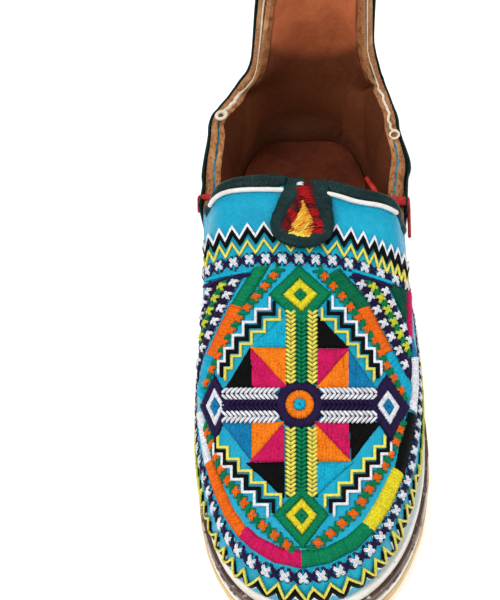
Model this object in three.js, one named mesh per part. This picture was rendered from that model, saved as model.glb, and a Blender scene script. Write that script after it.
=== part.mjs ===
// Embroidered slip-on shoe with a tall heel tab, a padded throat flap and a stacked crepe sole.
// Millimetres, +Z up, toe towards -Y, heel towards +Y; the origin is on the floor under the middle.
import * as THREE from "three";

// Driving sizes
const shoeLength = 255; // sole, toe tip to heel
const heelWidth = 75;
// Half widths of the sole on its outer side (+X) and its straighter inner side (-X)
const ballHalf = { outer: 49, inner: 46 };
const waistHalf = { outer: 41, inner: 39 };
const outlineShift = -1.5; // brings the middle of the widest place to X = 0
const toeSpring = 7; // lift of the outsole at the toe tip
const instepHeight = 88; // outer face of the vamp above the floor, near the throat
const instepY = 24; // where it has that height
const throatY = 26.2; // where the vamp ends on the centre line
const collarHeight = 69; // side of the topline
const tabHeight = 142; // top of the heel tab
const tabHalfWidth = 22.4; // along the heel curve
const tabLean = { by: 8, from: 58, to: 96 }; // the soft tab leans this far towards +X between two heights
const instepLean = { by: 10, from: 69, to: 120 }; // and the instep, which ends below the second height
const tabCurl = { by: 14, from: 66, to: 92 }; // its sides turn forward this far between two heights
const vampWall = 3.2;
const quarterWall = 6.4; // two leathers and the folded strip between them
const seam = 0.3; // gap between neighbouring pieces

// Places along the sole, as shares of its length from the toe
const ballShare = 0.34;
const waistShare = 0.63;
const heelShare = 0.8;
const toeRoundness = { outer: 2.15, inner: 2.5 }; // superellipse exponents of the two ends
const heelRoundness = 2.45;

// Sole stack, bottom to top
const crepeThickness = 6.4;
const liftLowerThickness = 3.9; // heel lift, full height under the heel
const liftUpperThickness = 2.3;
const lowerLayer = 3.5;
const middleLayer = 4.2;
const upperLayer = 5.6;
const liftStartY = 8; // the lift feathers out here
const liftRampY = -6; // and would reach nothing here
const liftFullY = 78;
const toeBreakY = -40; // the sole leaves the floor in front of this
const insoleThickness = 3;
const insoleInset = 7.8; // from the edge of the sole to the edge of the insole
const feltInset = 3; // ledge of the sole outside the upper

const colours = {
  crepe: 0xd2ae6e,
  cream: 0xe6dfd2,
  brown: 0x4a2f24,
  insole: 0x7a4326,
  leather: 0x1f9fc4,
  teal: 0x14524f,
  piping: 0xe9e4e0,
  thong: 0xc2281f,
  patch: 0xd9a72e,
};

const halfLength = shoeLength / 2;

// Smooth interpolation of one column of a table over another, without overshoot
function column(table, key, name) {
  const x = table.map((row) => row[key]);
  const y = table.map((row) => row[name]);
  const last = x.length - 1;
  const slope = (i) => (y[i + 1] - y[i]) / (x[i + 1] - x[i]);
  const tangent = x.map((_, i) => {
    if (i === 0) return slope(0);
    if (i === last) return slope(last - 1);
    const before = slope(i - 1);
    const after = slope(i);
    return before * after <= 0 ? 0 : (2 * before * after) / (before + after);
  });
  return (at) => {
    if (at <= x[0]) return y[0];
    if (at >= x[last]) return y[last];
    const i = x.findIndex((value) => value > at) - 1;
    const width = x[i + 1] - x[i];
    const s = (at - x[i]) / width;
    const rise = s * s * (3 - 2 * s);
    const lead = width * s * (1 - s) * ((1 - s) * tangent[i] - s * tangent[i + 1]);
    return y[i] * (1 - rise) + y[i + 1] * rise + lead;
  };
}

const smoothstep = THREE.MathUtils.smoothstep;
const lerp = THREE.MathUtils.lerp;

// Sole outline: half width along the length; side is +1 or -1
function halfWidth(share, side, inset) {
  const name = side > 0 ? "outer" : "inner";
  const ball = ballHalf[name] - inset;
  const waist = waistHalf[name] - inset;
  const heel = heelWidth / 2 - inset;
  if (share <= 0 || share >= 1) return 0;
  if (share < ballShare) {
    const round = toeRoundness[name];
    return ball * (1 - (1 - share / ballShare) ** round) ** (1 / round);
  }
  if (share > heelShare) {
    const past = (share - heelShare) / (1 - heelShare);
    return heel * (1 - past ** heelRoundness) ** (1 / heelRoundness);
  }
  if (share < waistShare) return lerp(ball, waist, smoothstep(share, ballShare, waistShare));
  return lerp(waist, heel, smoothstep(share, waistShare, heelShare));
}

// A point of the outline drawn in by inset
function outlinePoint(share, side, inset) {
  const y = lerp(-halfLength + inset, halfLength - inset, share);
  return new THREE.Vector2(side * halfWidth(share, side, inset) + outlineShift, y);
}

// Heights of the sole
const soleBottom = (y) => toeSpring * Math.max(0, (toeBreakY - y) / (halfLength + toeBreakY)) ** 2;
const liftRise = (y) => smoothstep(y, liftRampY, liftFullY);
const crepeTop = (y) => soleBottom(y) + crepeThickness;
const liftLowerTop = (y) => crepeTop(y) + seam + liftLowerThickness * liftRise(y);
const liftUpperTop = (y) => liftLowerTop(y) + seam + liftUpperThickness * liftRise(y);
const lowerBottom = (y) => liftUpperTop(y) + seam - 2 * seam * (1 - smoothstep(y, liftRampY, liftStartY));
const lowerTop = (y) => lowerBottom(y) + lowerLayer;
const middleTop = (y) => lowerTop(y) + seam + middleLayer;
const soleTop = (y) => middleTop(y) + seam + upperLayer;

// A closed geometry from a list of points and faces of three or four corners
function solidGeometry(points, faces) {
  const index = faces.flatMap(([a, b, c, d]) => (d === undefined ? [a, b, c] : [a, b, c, a, c, d]));
  const geometry = new THREE.BufferGeometry().setFromPoints(points).setIndex(index);
  geometry.computeVertexNormals();
  return geometry;
}

// Shares spaced closely at both ends, from a first share to the heel
function stationShares(count, first = 0) {
  const start = Math.acos(1 - 2 * first);
  return Array.from({ length: count + 1 }, (_, i) => (1 - Math.cos(lerp(start, Math.PI, i / count))) / 2);
}

const soleStations = 30;
const liftStations = 18;

// A plate that follows the sole: each level is a ring at an inset from the outline, at a height over y
function plateGeometry(levels, shares) {
  const points = [];
  const rings = levels.map(({ inset, height, tucked = false }) => {
    const place = (share, side) => {
      const { x, y } = outlinePoint(share, side, inset);
      const tuck = tucked ? tuckAt(share, side) : 0;
      return points.push(new THREE.Vector3(lerp(x, outlineShift, tuck), y, height(y))) - 1;
    };
    const right = shares.map((share) => place(share, 1));
    const left = shares.map((share, i) => (share > 0 && share < 1 ? place(share, -1) : right[i]));
    return { right, left };
  });
  const faces = [];
  const add = (...corners) => {
    const distinct = [...new Set(corners)];
    if (distinct.length > 2) faces.push(distinct);
  };
  for (let i = 0; i + 1 < shares.length; i++) {
    for (let level = 0; level + 1 < rings.length; level++) {
      const low = rings[level];
      const high = rings[level + 1];
      add(low.right[i], low.right[i + 1], high.right[i + 1], high.right[i]);
      add(low.left[i + 1], low.left[i], high.left[i], high.left[i + 1]);
    }
    const bottom = rings[0];
    const top = rings[rings.length - 1];
    add(bottom.right[i + 1], bottom.right[i], bottom.left[i], bottom.left[i + 1]);
    add(top.right[i], top.right[i + 1], top.left[i + 1], top.left[i]);
  }
  // A plate that starts behind the toe has a straight front edge
  for (let level = 0; shares[0] > 0 && level + 1 < rings.length; level++) {
    const low = rings[level];
    const high = rings[level + 1];
    add(low.left[0], low.right[0], high.right[0], high.left[0]);
  }
  return solidGeometry(points, faces);
}

const raised = (height, by) => (y) => height(y) + by;

const crepeEdge = 1.6; // rounding of the outsole's lower edge
const layerStep = { lower: 0.4, middle: 0.9, upper: 2.2, lift: 0.7 }; // the stack spreads downwards
const upperEdge = 0.8; // rounding of the top layer's shoulder
const liftShare = (liftStartY + halfLength) / shoeLength;

function soleMeshes() {
  const full = stationShares(soleStations);
  const rear = stationShares(liftStations, liftShare);
  const slab = (inset, low, high) => [
    { inset, height: low },
    { inset, height: high },
  ];
  return [
    mesh("outsole", colours.crepe, plateGeometry([
      { inset: crepeEdge, height: soleBottom },
      { inset: 0, height: raised(soleBottom, crepeEdge) },
      { inset: 0, height: crepeTop },
    ], full)),
    mesh("heel_lift_lower", colours.cream,
      plateGeometry(slab(layerStep.lower, raised(crepeTop, seam), liftLowerTop), rear)),
    mesh("heel_lift_upper", colours.brown,
      plateGeometry(slab(layerStep.lift, raised(liftLowerTop, seam), liftUpperTop), rear)),
    mesh("midsole_lower", colours.cream, plateGeometry(slab(layerStep.lower, lowerBottom, lowerTop), full)),
    mesh("midsole_middle", colours.brown,
      plateGeometry(slab(layerStep.middle, raised(lowerTop, seam), middleTop), full)),
    mesh("midsole_upper", colours.cream, plateGeometry([
      { inset: layerStep.upper, height: raised(middleTop, seam) },
      { inset: layerStep.upper, height: raised(soleTop, -upperEdge) },
      { inset: layerStep.upper + upperEdge, height: soleTop },
    ], full)),
    mesh("insole", colours.insole, plateGeometry([
      { inset: insoleInset, height: raised(soleTop, seam), tucked: true },
      { inset: insoleInset, height: raised(soleTop, seam + insoleThickness), tucked: true },
    ], full)),
  ];
}

function mesh(name, colour, geometry) {
  const made = new THREE.Mesh(geometry, new THREE.MeshStandardMaterial({ color: colour, roughness: 0.75 }));
  made.name = name;
  return made;
}

// Upper: a wall that stands on the feather line and runs up to the topline, open below and at the mouth.
// Outer face on the centre line at the toe end, and at the heel end, at each height
const vampProfile = [
  { z: 27.3, y: -124.5 },
  { z: 34, y: -126 },
  { z: 41, y: -124 },
  { z: 47, y: -118 },
  { z: 52, y: -107 },
  { z: 56, y: -93 },
  { z: 61, y: -74 },
  { z: 67, y: -50 },
  { z: 73.5, y: -25 },
  { z: 80.5, y: 0 },
  { z: instepHeight, y: instepY },
  { z: 94, y: 44 },
];
const heelProfile = [
  { z: 27.7, y: 124.5 },
  { z: 42, y: 123.5 },
  { z: 56, y: 121 },
  { z: 72, y: 119.3 },
  { z: 88, y: 117.5 },
  { z: 103, y: 115 },
  { z: 122, y: 111 },
  { z: tabHeight, y: 106 },
];
// Width of the wall against the feather line: belly at half height, flare of the two sides at the collar,
// and how far the foot of each side is tucked in off the sole's edge
const wallWidths = [
  { share: 0, belly: 0.02, outer: 0.86, inner: 0.86, outerTuck: 0.065, innerTuck: 0 },
  { share: 0.2, belly: 0.025, outer: 0.84, inner: 0.86, outerTuck: 0.065, innerTuck: -0.025 },
  { share: 0.35, belly: 0.03, outer: 0.82, inner: 0.87, outerTuck: 0.06, innerTuck: -0.025 },
  { share: 0.43, belly: 0.025, outer: 0.885, inner: 0.94, outerTuck: 0.045, innerTuck: -0.02 },
  { share: 0.5, belly: 0.02, outer: 1, inner: 1.08, outerTuck: 0.03, innerTuck: -0.01 },
  { share: 0.65, belly: 0.01, outer: 1.2, inner: 1.24, outerTuck: 0, innerTuck: 0 },
  { share: 0.8, belly: 0.01, outer: 1.24, inner: 1.25, outerTuck: 0, innerTuck: 0 },
  { share: 0.92, belly: 0.01, outer: 1.15, inner: 1.14, outerTuck: 0, innerTuck: 0 },
  { share: 1, belly: 0.01, outer: 1.1, inner: 1.1, outerTuck: 0, innerTuck: 0 },
];
const frontAt = column(vampProfile, "z", "y");
const backAt = column(heelProfile, "z", "y");
const bellyAt = column(wallWidths, "share", "belly");
const outerFlareAt = column(wallWidths, "share", "outer");
const innerFlareAt = column(wallWidths, "share", "inner");
const outerTuckAt = column(wallWidths, "share", "outerTuck");
const innerTuckAt = column(wallWidths, "share", "innerTuck");
const tuckAt = (share, side) => (side > 0 ? outerTuckAt(share) : innerTuckAt(share));
const heelLean = { from: 0.45, to: 0.68 }; // shares between the lean of the instep and that of the tab
const curlStart = { from: 6, to: 34 }; // distances from the middle of the heel at which the curl comes in
const curlEnd = { from: 45, to: 80 }; // and goes out again
const flareBottom = 22; // heights between which the flare comes in
const flareTop = 78;
const cornerShare = 0.43; // the vamp ends here, at the throat corners
const throatBow = 2.5; // the throat line bows forward this far at its corners
const throatSkew = 0.12; // and runs forward by this share towards the outer side
const cornerX = 41;

// Feather line measured from the toe round to the heel
const featherSteps = 400;
const feather = stationShares(featherSteps).map((share) => {
  return { share, at: outlinePoint(share, 1, feltInset) };
});
feather.forEach((step, i) => {
  step.run = i === 0 ? 0 : feather[i - 1].run + step.at.distanceTo(feather[i - 1].at);
});
const sideRun = feather[feather.length - 1].run;
const shareAt = column(feather, "run", "share");
const runAt = column(feather, "share", "run");

const between = (value, { from, to }) => smoothstep(value, from, to);

// Outer face of the wall; run goes once round from the toe, by way of the +X side
function wallPoint(run, z) {
  const side = run > sideRun || run < 0 ? -1 : 1;
  const near = run > sideRun ? 2 * sideRun - run : Math.abs(run);
  const share = shareAt(near);
  const turned = between(sideRun - near, curlStart) - between(sideRun - near, curlEnd);
  const y = lerp(frontAt(z), backAt(z), share) - tabCurl.by * between(z, tabCurl) * turned;
  const h = THREE.MathUtils.clamp((z - flareBottom) / (flareTop - flareBottom), 0, 1);
  const flare = side > 0 ? outerFlareAt(share) : innerFlareAt(share);
  const tuck = tuckAt(share, side) * (1 - h) ** 2;
  const width = 1 + bellyAt(share) * Math.sin(Math.PI * h) + (flare - 1) * h * Math.sqrt(h) - tuck;
  const instep = instepLean.by * between(z, instepLean);
  const lean = lerp(instep, tabLean.by * between(z, tabLean), between(share, heelLean));
  return new THREE.Vector3(side * halfWidth(share, side, feltInset) * width + outlineShift + lean, y, z);
}

const probe = 0.4;
function wallNormal(run, z) {
  const along = wallPoint(run + probe, z).sub(wallPoint(run - probe, z));
  const up = wallPoint(run, z + probe).sub(wallPoint(run, z - probe));
  return along.cross(up).normalize();
}

// Topline: the throat across the vamp, then the collar and the tab, by distance from the middle of the heel
// Where the sides of the tab begin
const neckOf = { outer: { back: 23.6, z: 96 }, inner: { back: 31, z: 77 } };
const throatLine = (x) => throatY - throatBow * (x / cornerX) ** 2 - throatSkew * x;
const halvings = 40;
function throatHeight(run) {
  let low = instepHeight / 2;
  let high = instepHeight + throatBow;
  for (let i = 0; i < halvings; i++) {
    const z = (low + high) / 2;
    const at = wallPoint(run, z);
    if (at.y < throatLine(at.x - outlineShift)) low = z;
    else high = z;
  }
  return low;
}
const cornerRun = runAt(cornerShare);
const outerNeck = [neckOf.outer, { back: 27.5, z: 86.5 }, { back: 33, z: 78.5 }, { back: 42.5, z: 72 }];
const innerNeck = [
  { back: 26.8, z: 102 },
  { back: 29.3, z: 88 },
  neckOf.inner,
  { back: 34, z: 70.5 },
  { back: 40, z: 67.5 },
  { back: 48, z: 67.2 },
];
const collarLine = (side, neck) => [
  { back: 0, z: tabHeight },
  { back: 11.5, z: tabHeight - 1.2 },
  { back: 17.5, z: tabHeight - 3.6 },
  { back: 21, z: tabHeight - 7 },
  { back: tabHalfWidth, z: tabHeight - 13 },
  ...neck,
  { back: 56, z: collarHeight - 1 },
  { back: 80, z: collarHeight - 2 },
  { back: 115, z: collarHeight - 2.5 },
  { back: sideRun - cornerRun, z: throatHeight(side * cornerRun) },
];
const outerCollar = column(collarLine(1, outerNeck), "back", "z");
const innerCollar = column(collarLine(-1, innerNeck), "back", "z");
const collarAt = (back, side) => (side > 0 ? outerCollar(back) : innerCollar(back));
function toplineHeight(run) {
  const side = run > sideRun || run < 0 ? -1 : 1;
  const near = run > sideRun ? 2 * sideRun - run : Math.abs(run);
  return near < cornerRun ? throatHeight(side * near) : collarAt(sideRun - near, side);
}

// Ribs of one side, as runs from the toe: even over the vamp, closer at the tab
const vampRibs = 13;
const cornerBack = sideRun - cornerRun;
const tabRibs = [0, 5.5, 11.5, 17.5, 21, tabHalfWidth, neckOf.outer.back, 24.5, 25.5];
const quarterRibs = [27.5, 29.3, neckOf.inner.back, 31.8, 32.8, 34, 38, 43, 51, 61, 74, 88, 103, 118];
const cornerRibs = [34, 27, 22, 17, 10, 5].map((behind) => cornerBack - behind);
const ribGap = 5;
const collarRibs = [
  ...tabRibs,
  ...quarterRibs.filter((back) => back < cornerRibs[0] - ribGap),
  ...cornerRibs,
];
const sideRibs = [
  ...Array.from({ length: vampRibs + 1 }, (_, i) => (cornerRun * i) / vampRibs),
  ...collarRibs.map((back) => sideRun - back).reverse(),
];
const ribs = [...sideRibs, ...sideRibs.slice(1, -1).map((run) => 2 * sideRun - run).reverse()];
const wallRows = 14;
const traceSteps = 60;
const tiny = 1e-9;

// Heights along a rib that divide its length evenly
function ribHeights(run, rows) {
  const share = shareAt(run > sideRun ? 2 * sideRun - run : run);
  const start = soleTop(lerp(-halfLength + feltInset, halfLength - feltInset, share)) + seam;
  const end = toplineHeight(run);
  const trace = Array.from({ length: traceSteps + 1 }, (_, i) => lerp(start, end, i / traceSteps));
  const spots = trace.map((z) => wallPoint(run, z));
  let length = 0;
  const table = trace.map((z, i) => {
    length += i === 0 ? 0 : spots[i].distanceTo(spots[i - 1]);
    return { length, z };
  });
  const heightAt = (wanted) => {
    const i = Math.max(1, table.findIndex((row) => row.length >= wanted - tiny));
    const before = table[i - 1];
    const after = table[i];
    return lerp(before.z, after.z, (wanted - before.length) / (after.length - before.length));
  };
  return Array.from({ length: rows + 1 }, (_, row) => heightAt((length * row) / rows));
}

const featherWall = 4.2; // wall of the quarter at the feather line
const fullLevel = 0.8; // share of the rib at which it has its full thickness
const thickening = { from: cornerShare - 0.01, to: cornerShare + 0.05 }; // shares between vamp and quarter
function wallThickness(run, level) {
  const share = shareAt(run > sideRun ? 2 * sideRun - run : run);
  const quarter = lerp(featherWall, quarterWall, smoothstep(level, 0, fullLevel));
  return lerp(vampWall, quarter, smoothstep(share, thickening.from, thickening.to));
}

// Inward step of the wall, level at the feather line so that the wall stands flat
const footLevel = 0.2;
function innerPoint(run, z, level) {
  const normal = wallNormal(run, z);
  normal.z *= smoothstep(level, 0, footLevel);
  return wallPoint(run, z).addScaledVector(normal.normalize(), -wallThickness(run, level));
}

function upperGeometry() {
  const points = [];
  const layers = ribs.map((run) => {
    const heights = ribHeights(run, wallRows);
    return {
      outer: heights.map((z) => points.push(wallPoint(run, z)) - 1),
      inner: heights.map((z, row) => points.push(innerPoint(run, z, row / wallRows)) - 1),
    };
  });
  const faces = [];
  layers.forEach((here, i) => {
    const next = layers[(i + 1) % layers.length];
    for (let row = 0; row < wallRows; row++) {
      faces.push([here.outer[row], next.outer[row], next.outer[row + 1], here.outer[row + 1]]);
      faces.push([next.inner[row], here.inner[row], here.inner[row + 1], next.inner[row + 1]]);
    }
    faces.push([here.outer[wallRows], next.outer[wallRows], next.inner[wallRows], here.inner[wallRows]]);
    faces.push([next.outer[0], here.outer[0], here.inner[0], next.inner[0]]);
  });
  return solidGeometry(points, faces);
}

// Round leather or cord along a path
const halfTurnSides = 4;
function rollGeometry(path, radius, steps) {
  const section = new THREE.Shape().absarc(0, 0, radius, 0, 2 * Math.PI);
  const extrudePath = new THREE.CatmullRomCurve3(path, false, "centripetal");
  const curveSegments = halfTurnSides;
  return new THREE.ExtrudeGeometry(section, { steps, curveSegments, bevelEnabled: false, extrudePath });
}

// The topline on one rib: its outer edge, the way out of the wall and the way up off the edge
const toplinePoint = (run) => wallPoint(run, toplineHeight(run));
function toplineFrame(run) {
  const at = toplinePoint(run);
  const out = wallNormal(run, at.z);
  const along = toplinePoint(run + probe).sub(toplinePoint(run - probe));
  const up = out.clone().cross(along).normalize();
  return { at, out, up, along };
}
const offTopline = (run, out, up) => {
  const frame = toplineFrame(run);
  return frame.at.addScaledVector(frame.out, out).addScaledVector(frame.up, up);
};

// Teal roll along the throat, thin under the flap, and white piping under it on each side of the flap
const flapShift = -1; // the flap is off the middle of the throat
const bindingRadius = 2.9;
const neckRadius = 1.2; // of the roll under the flap
const neckHalf = { thin: 9, full: 11.6 }; // distances from the flap's middle between which the roll fills out
const pipingRadius = 1.1;
const pipingDrop = 0.4;
const pipingStart = { outer: 9.4, inner: 10.9 }; // runs at which the piping comes out from under the flap
const pipingEnd = { outer: 70, inner: 97 }; // and runs at which its two halves stop
const bindingEnd = cornerRun - 6; // run at which the roll stops, short of the thong
const throatRuns = Array.from({ length: vampRibs + 1 }, (_, i) => (bindingEnd * i) / vampRibs);
const bindingSteps = 72;
const bindingSides = 10;
function bindingGeometry() {
  const steps = Array.from({ length: bindingSteps + 1 }, (_, i) => i / bindingSteps);
  const runs = steps.map((step) => lerp(bindingEnd, -bindingEnd, step));
  return loftGeometry(runs.map((run) => {
    const fill = smoothstep(Math.abs(run - flapShift), neckHalf.thin, neckHalf.full);
    const radius = lerp(neckRadius, bindingRadius, fill);
    return Array.from({ length: bindingSides }, (_, corner) => {
      const angle = (2 * Math.PI * corner) / bindingSides;
      const out = radius * Math.cos(angle) - vampWall / 2;
      return offTopline(run < 0 ? 2 * sideRun + run : run, out, radius * (1 + Math.sin(angle)) + seam);
    });
  }));
}
function pipingGeometry(side) {
  const name = side > 0 ? "outer" : "inner";
  const runs = throatRuns.map((run) => lerp(pipingStart[name], pipingEnd[name], run / bindingEnd));
  const path = runs.map((run) => {
    return offTopline(side > 0 ? run : 2 * sideRun - run, pipingRadius + seam, -pipingDrop);
  });
  return rollGeometry(path, pipingRadius, 2 * vampRibs);
}

// Flap: a padded loop that comes off the top of the roll and hangs down the vamp with its tip lifted
const rimWidth = 6; // leather rim, padded where it hangs
const foldThickness = 1.2; // and thin where it leaves the roll
const rimSides = 8;
const flapStart = 30; // degrees round the roll, from straight back
const flapLength = 31.2; // along its middle, to the middle of the rim
const flapDrape = 0.006; // follows the crown of the vamp
const patchThickness = 1.2;
const flapOutline = [
  { s: 0, half: 4.6, thick: foldThickness, rise: 0 },
  { s: 3.6, half: 4.8, thick: foldThickness, rise: 0 },
  { s: 7, half: 5.4, thick: 1.8, rise: 0.4 },
  { s: 14.7, half: 7.9, thick: 2.6, rise: 1.2 },
  { s: 20, half: 9.5, thick: 3.2, rise: 1.7 },
  { s: 23.2, half: 9.8, thick: 3.2, rise: 2 },
  { s: 26, half: 9.2, thick: 3.2, rise: 2.5 },
  { s: 28, half: 7.9, thick: 3.2, rise: 2.9 },
  { s: 30, half: 5.3, thick: 3.2, rise: 3.3 },
  { s: flapLength, half: 0, thick: 3.2, rise: 3.5 },
];
const flapHalfAt = column(flapOutline, "s", "half");
const rimThickAt = column(flapOutline, "s", "thick");
const flapRiseAt = column(flapOutline, "s", "rise");
const throatFrame = toplineFrame(0);
const throatSlant = throatFrame.along.clone().divideScalar(throatFrame.along.x); // a step across the flap
const foldCentre = offTopline(0, -vampWall / 2, neckRadius + seam);
const foldRadius = neckRadius + 3 * seam + foldThickness / 2;
const foldEnd = THREE.MathUtils.radToDeg(Math.atan2(throatFrame.out.z, throatFrame.out.y));
const foldRun = foldRadius * THREE.MathUtils.degToRad(foldEnd - flapStart);
function flapPoint(s, x, h) {
  const spine = new THREE.Vector3(foldCentre.x, 0, 0).addScaledVector(throatSlant, flapShift);
  let out = throatFrame.out.clone();
  if (s < foldRun) {
    const angle = THREE.MathUtils.degToRad(flapStart) + s / foldRadius;
    out = new THREE.Vector3(0, Math.cos(angle), Math.sin(angle));
    spine.add(new THREE.Vector3(0, foldCentre.y, foldCentre.z)).addScaledVector(out, foldRadius);
  } else {
    spine.add(new THREE.Vector3(0, foldCentre.y, foldCentre.z));
    spine.addScaledVector(out, foldRadius + flapRiseAt(s)).addScaledVector(throatFrame.up, foldRun - s);
  }
  const drop = flapDrape * x * x * smoothstep(s, 0, foldRun);
  return spine.addScaledVector(out, h - drop).addScaledVector(throatSlant, x);
}
// Middle line of the rim on the +X side, from the root to the tip, as places along and across the flap
const flapStations = 14;
const rimLine = Array.from({ length: flapStations + 1 }, (_, i) => {
  const along = flapLength * Math.sin((Math.PI / 2) * (i / flapStations));
  return new THREE.Vector2(along, flapHalfAt(along));
});
// Closed solid through sections that have the same corners, in order round the section
function loftGeometry(sections) {
  const points = sections.flat();
  const corners = sections[0].length;
  const at = (i, corner) => i * corners + (corner % corners);
  const faces = [];
  for (let i = 0; i + 1 < sections.length; i++) {
    for (let corner = 0; corner < corners; corner++) {
      faces.push([at(i, corner), at(i, corner + 1), at(i + 1, corner + 1), at(i + 1, corner)]);
    }
  }
  const last = sections.length - 1;
  for (let corner = 1; corner + 1 < corners; corner++) {
    faces.push([at(0, 0), at(0, corner + 1), at(0, corner)]);
    faces.push([at(last, 0), at(last, corner), at(last, corner + 1)]);
  }
  return solidGeometry(points, faces);
}
function flapRimGeometry() {
  const mirrored = rimLine.slice(0, -1).map(({ x, y }) => new THREE.Vector2(x, -y)).reverse();
  const line = [...rimLine, ...mirrored];
  return loftGeometry(line.map((at, i) => {
    const before = line[Math.max(0, i - 1)];
    const after = line[Math.min(line.length - 1, i + 1)];
    const way = after.clone().sub(before).normalize();
    return Array.from({ length: rimSides }, (_, corner) => {
      const angle = (2 * Math.PI * corner) / rimSides;
      const across = (rimWidth / 2) * Math.cos(angle);
      const high = (rimThickAt(at.x) / 2) * Math.sin(angle);
      return flapPoint(at.x - across * way.y, at.y + across * way.x, high);
    });
  }));
}
function flapPatchGeometry() {
  const inset = rimWidth / 2 + 2 * seam;
  const edge = rimLine.slice(0, -1).map((at, i) => {
    const way = rimLine[i + 1].clone().sub(rimLine[Math.max(0, i - 1)]).normalize();
    return new THREE.Vector2(at.x + inset * way.y, at.y - inset * way.x);
  });
  return loftGeometry(edge.map(({ x: along, y: half }) => {
    const corners = [[-half, -1], [half, -1], [half, 1], [-half, 1]];
    return corners.map(([x, face]) => flapPoint(along, x, (face * patchThickness) / 2));
  }));
}

// Teal band round the outside of the collar and the tab
const bandWidth = 8;
const bandStart = 26; // behind the throat corner
const bandLift = 0.8; // off the wall
const bandThickness = 1.2;
function bandGeometry() {
  const backs = collarRibs.filter((back) => sideRun - back > cornerRun + bandStart);
  const edgesOf = (side, neck) => backs.map((back) => {
    const z = collarAt(back, side);
    if (back < neck.back) {
      const tall = tabHeight - neck.z;
      const narrow = (neck.back - bandWidth) / neck.back;
      const short = (tall - bandWidth) / tall;
      return { back, z, inBack: back * narrow, inZ: neck.z + (z - neck.z) * short };
    }
    const slope = (collarAt(back + probe, side) - z) / probe;
    const turn = back === neck.back ? Math.PI / 2 : Math.atan(-slope);
    return { back, z, inBack: back - bandWidth * Math.sin(turn), inZ: z - bandWidth * Math.cos(turn) };
  });
  const place = (run, z, lift) => wallPoint(run, z).addScaledVector(wallNormal(run, z), lift);
  const section = (side, edge) => {
    const spots = [0, 0.5, 1].map((t) => {
      return { run: sideRun - side * lerp(edge.back, edge.inBack, t), z: lerp(edge.z, edge.inZ, t) };
    });
    const face = bandLift + bandThickness;
    return [
      ...spots.map(({ run, z }) => place(run, z, face)),
      ...spots.reverse().map(({ run, z }) => place(run, z, bandLift)),
    ];
  };
  const right = edgesOf(1, neckOf.outer).map((edge) => section(1, edge)).reverse();
  const left = edgesOf(-1, neckOf.inner).slice(1).map((edge) => section(-1, edge));
  return loftGeometry([...right, ...left]);
}

// Red thong laced over the collar at each throat corner
const thongRadius = 1.4;
const thongBack = 22; // behind the corner
const thongOutside = { outer: 6, inner: 2.5 }; // drop of its ends
const thongInside = 4;
const thongShoulder = 1; // drop at which it turns over the edge
const thongTurn = 0.85; // share of its clearance at which it rounds the two edges
const thongSteps = 24;
function thongGeometry(side) {
  const run = cornerRun + thongBack;
  const here = side > 0 ? run : 2 * sideRun - run;
  const clear = thongRadius + 3 * seam;
  const wall = wallThickness(here, 1) + 2 * seam;
  const round = thongTurn * clear;
  const top = toplineHeight(here);
  const below = (drop, out) => {
    const z = top - drop;
    return wallPoint(here, z).addScaledVector(wallNormal(here, z), out);
  };
  const outside = side > 0 ? thongOutside.outer : thongOutside.inner;
  const path = [
    below(outside, clear),
    below(outside / 2, clear),
    below(thongShoulder, clear),
    offTopline(here, round, round),
    offTopline(here, -wall / 2, clear),
    offTopline(here, -wall - round, round),
    below(thongShoulder, -wall - clear),
    below(thongInside, -wall - clear),
  ];
  return rollGeometry(path, thongRadius, thongSteps);
}

const shoe = new THREE.Group();
shoe.name = "slip_on_shoe";
shoe.add(
  ...soleMeshes(),
  mesh("upper", colours.leather, upperGeometry()),
  mesh("collar_band", colours.teal, bandGeometry()),
  mesh("throat_binding", colours.teal, bindingGeometry()),
  mesh("throat_piping_left", colours.piping, pipingGeometry(-1)),
  mesh("throat_piping_right", colours.piping, pipingGeometry(1)),
  mesh("flap_rim", colours.teal, flapRimGeometry()),
  mesh("flap_patch", colours.patch, flapPatchGeometry()),
  mesh("thong_left", colours.thong, thongGeometry(-1)),
  mesh("thong_right", colours.thong, thongGeometry(1)),
);
export default shoe;
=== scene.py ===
import math

import bmesh
import bpy
import numpy as np
from mathutils import Matrix, Vector
from mathutils.bvhtree import BVHTree


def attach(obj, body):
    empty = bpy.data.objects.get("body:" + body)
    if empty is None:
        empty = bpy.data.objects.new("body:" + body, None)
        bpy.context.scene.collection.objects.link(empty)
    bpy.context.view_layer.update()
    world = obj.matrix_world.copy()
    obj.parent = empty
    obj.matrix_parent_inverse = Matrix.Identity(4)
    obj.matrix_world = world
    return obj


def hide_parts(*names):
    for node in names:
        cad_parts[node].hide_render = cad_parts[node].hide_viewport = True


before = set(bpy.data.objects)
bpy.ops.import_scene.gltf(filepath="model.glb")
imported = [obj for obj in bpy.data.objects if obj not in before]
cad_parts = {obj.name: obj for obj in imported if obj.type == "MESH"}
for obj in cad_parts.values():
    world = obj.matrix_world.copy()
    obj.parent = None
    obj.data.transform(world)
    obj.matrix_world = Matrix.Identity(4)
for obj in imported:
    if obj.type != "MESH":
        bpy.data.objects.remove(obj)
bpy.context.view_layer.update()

mm = 0.001  # all sizes below are millimetres
photoSize = (500, 600)

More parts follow.
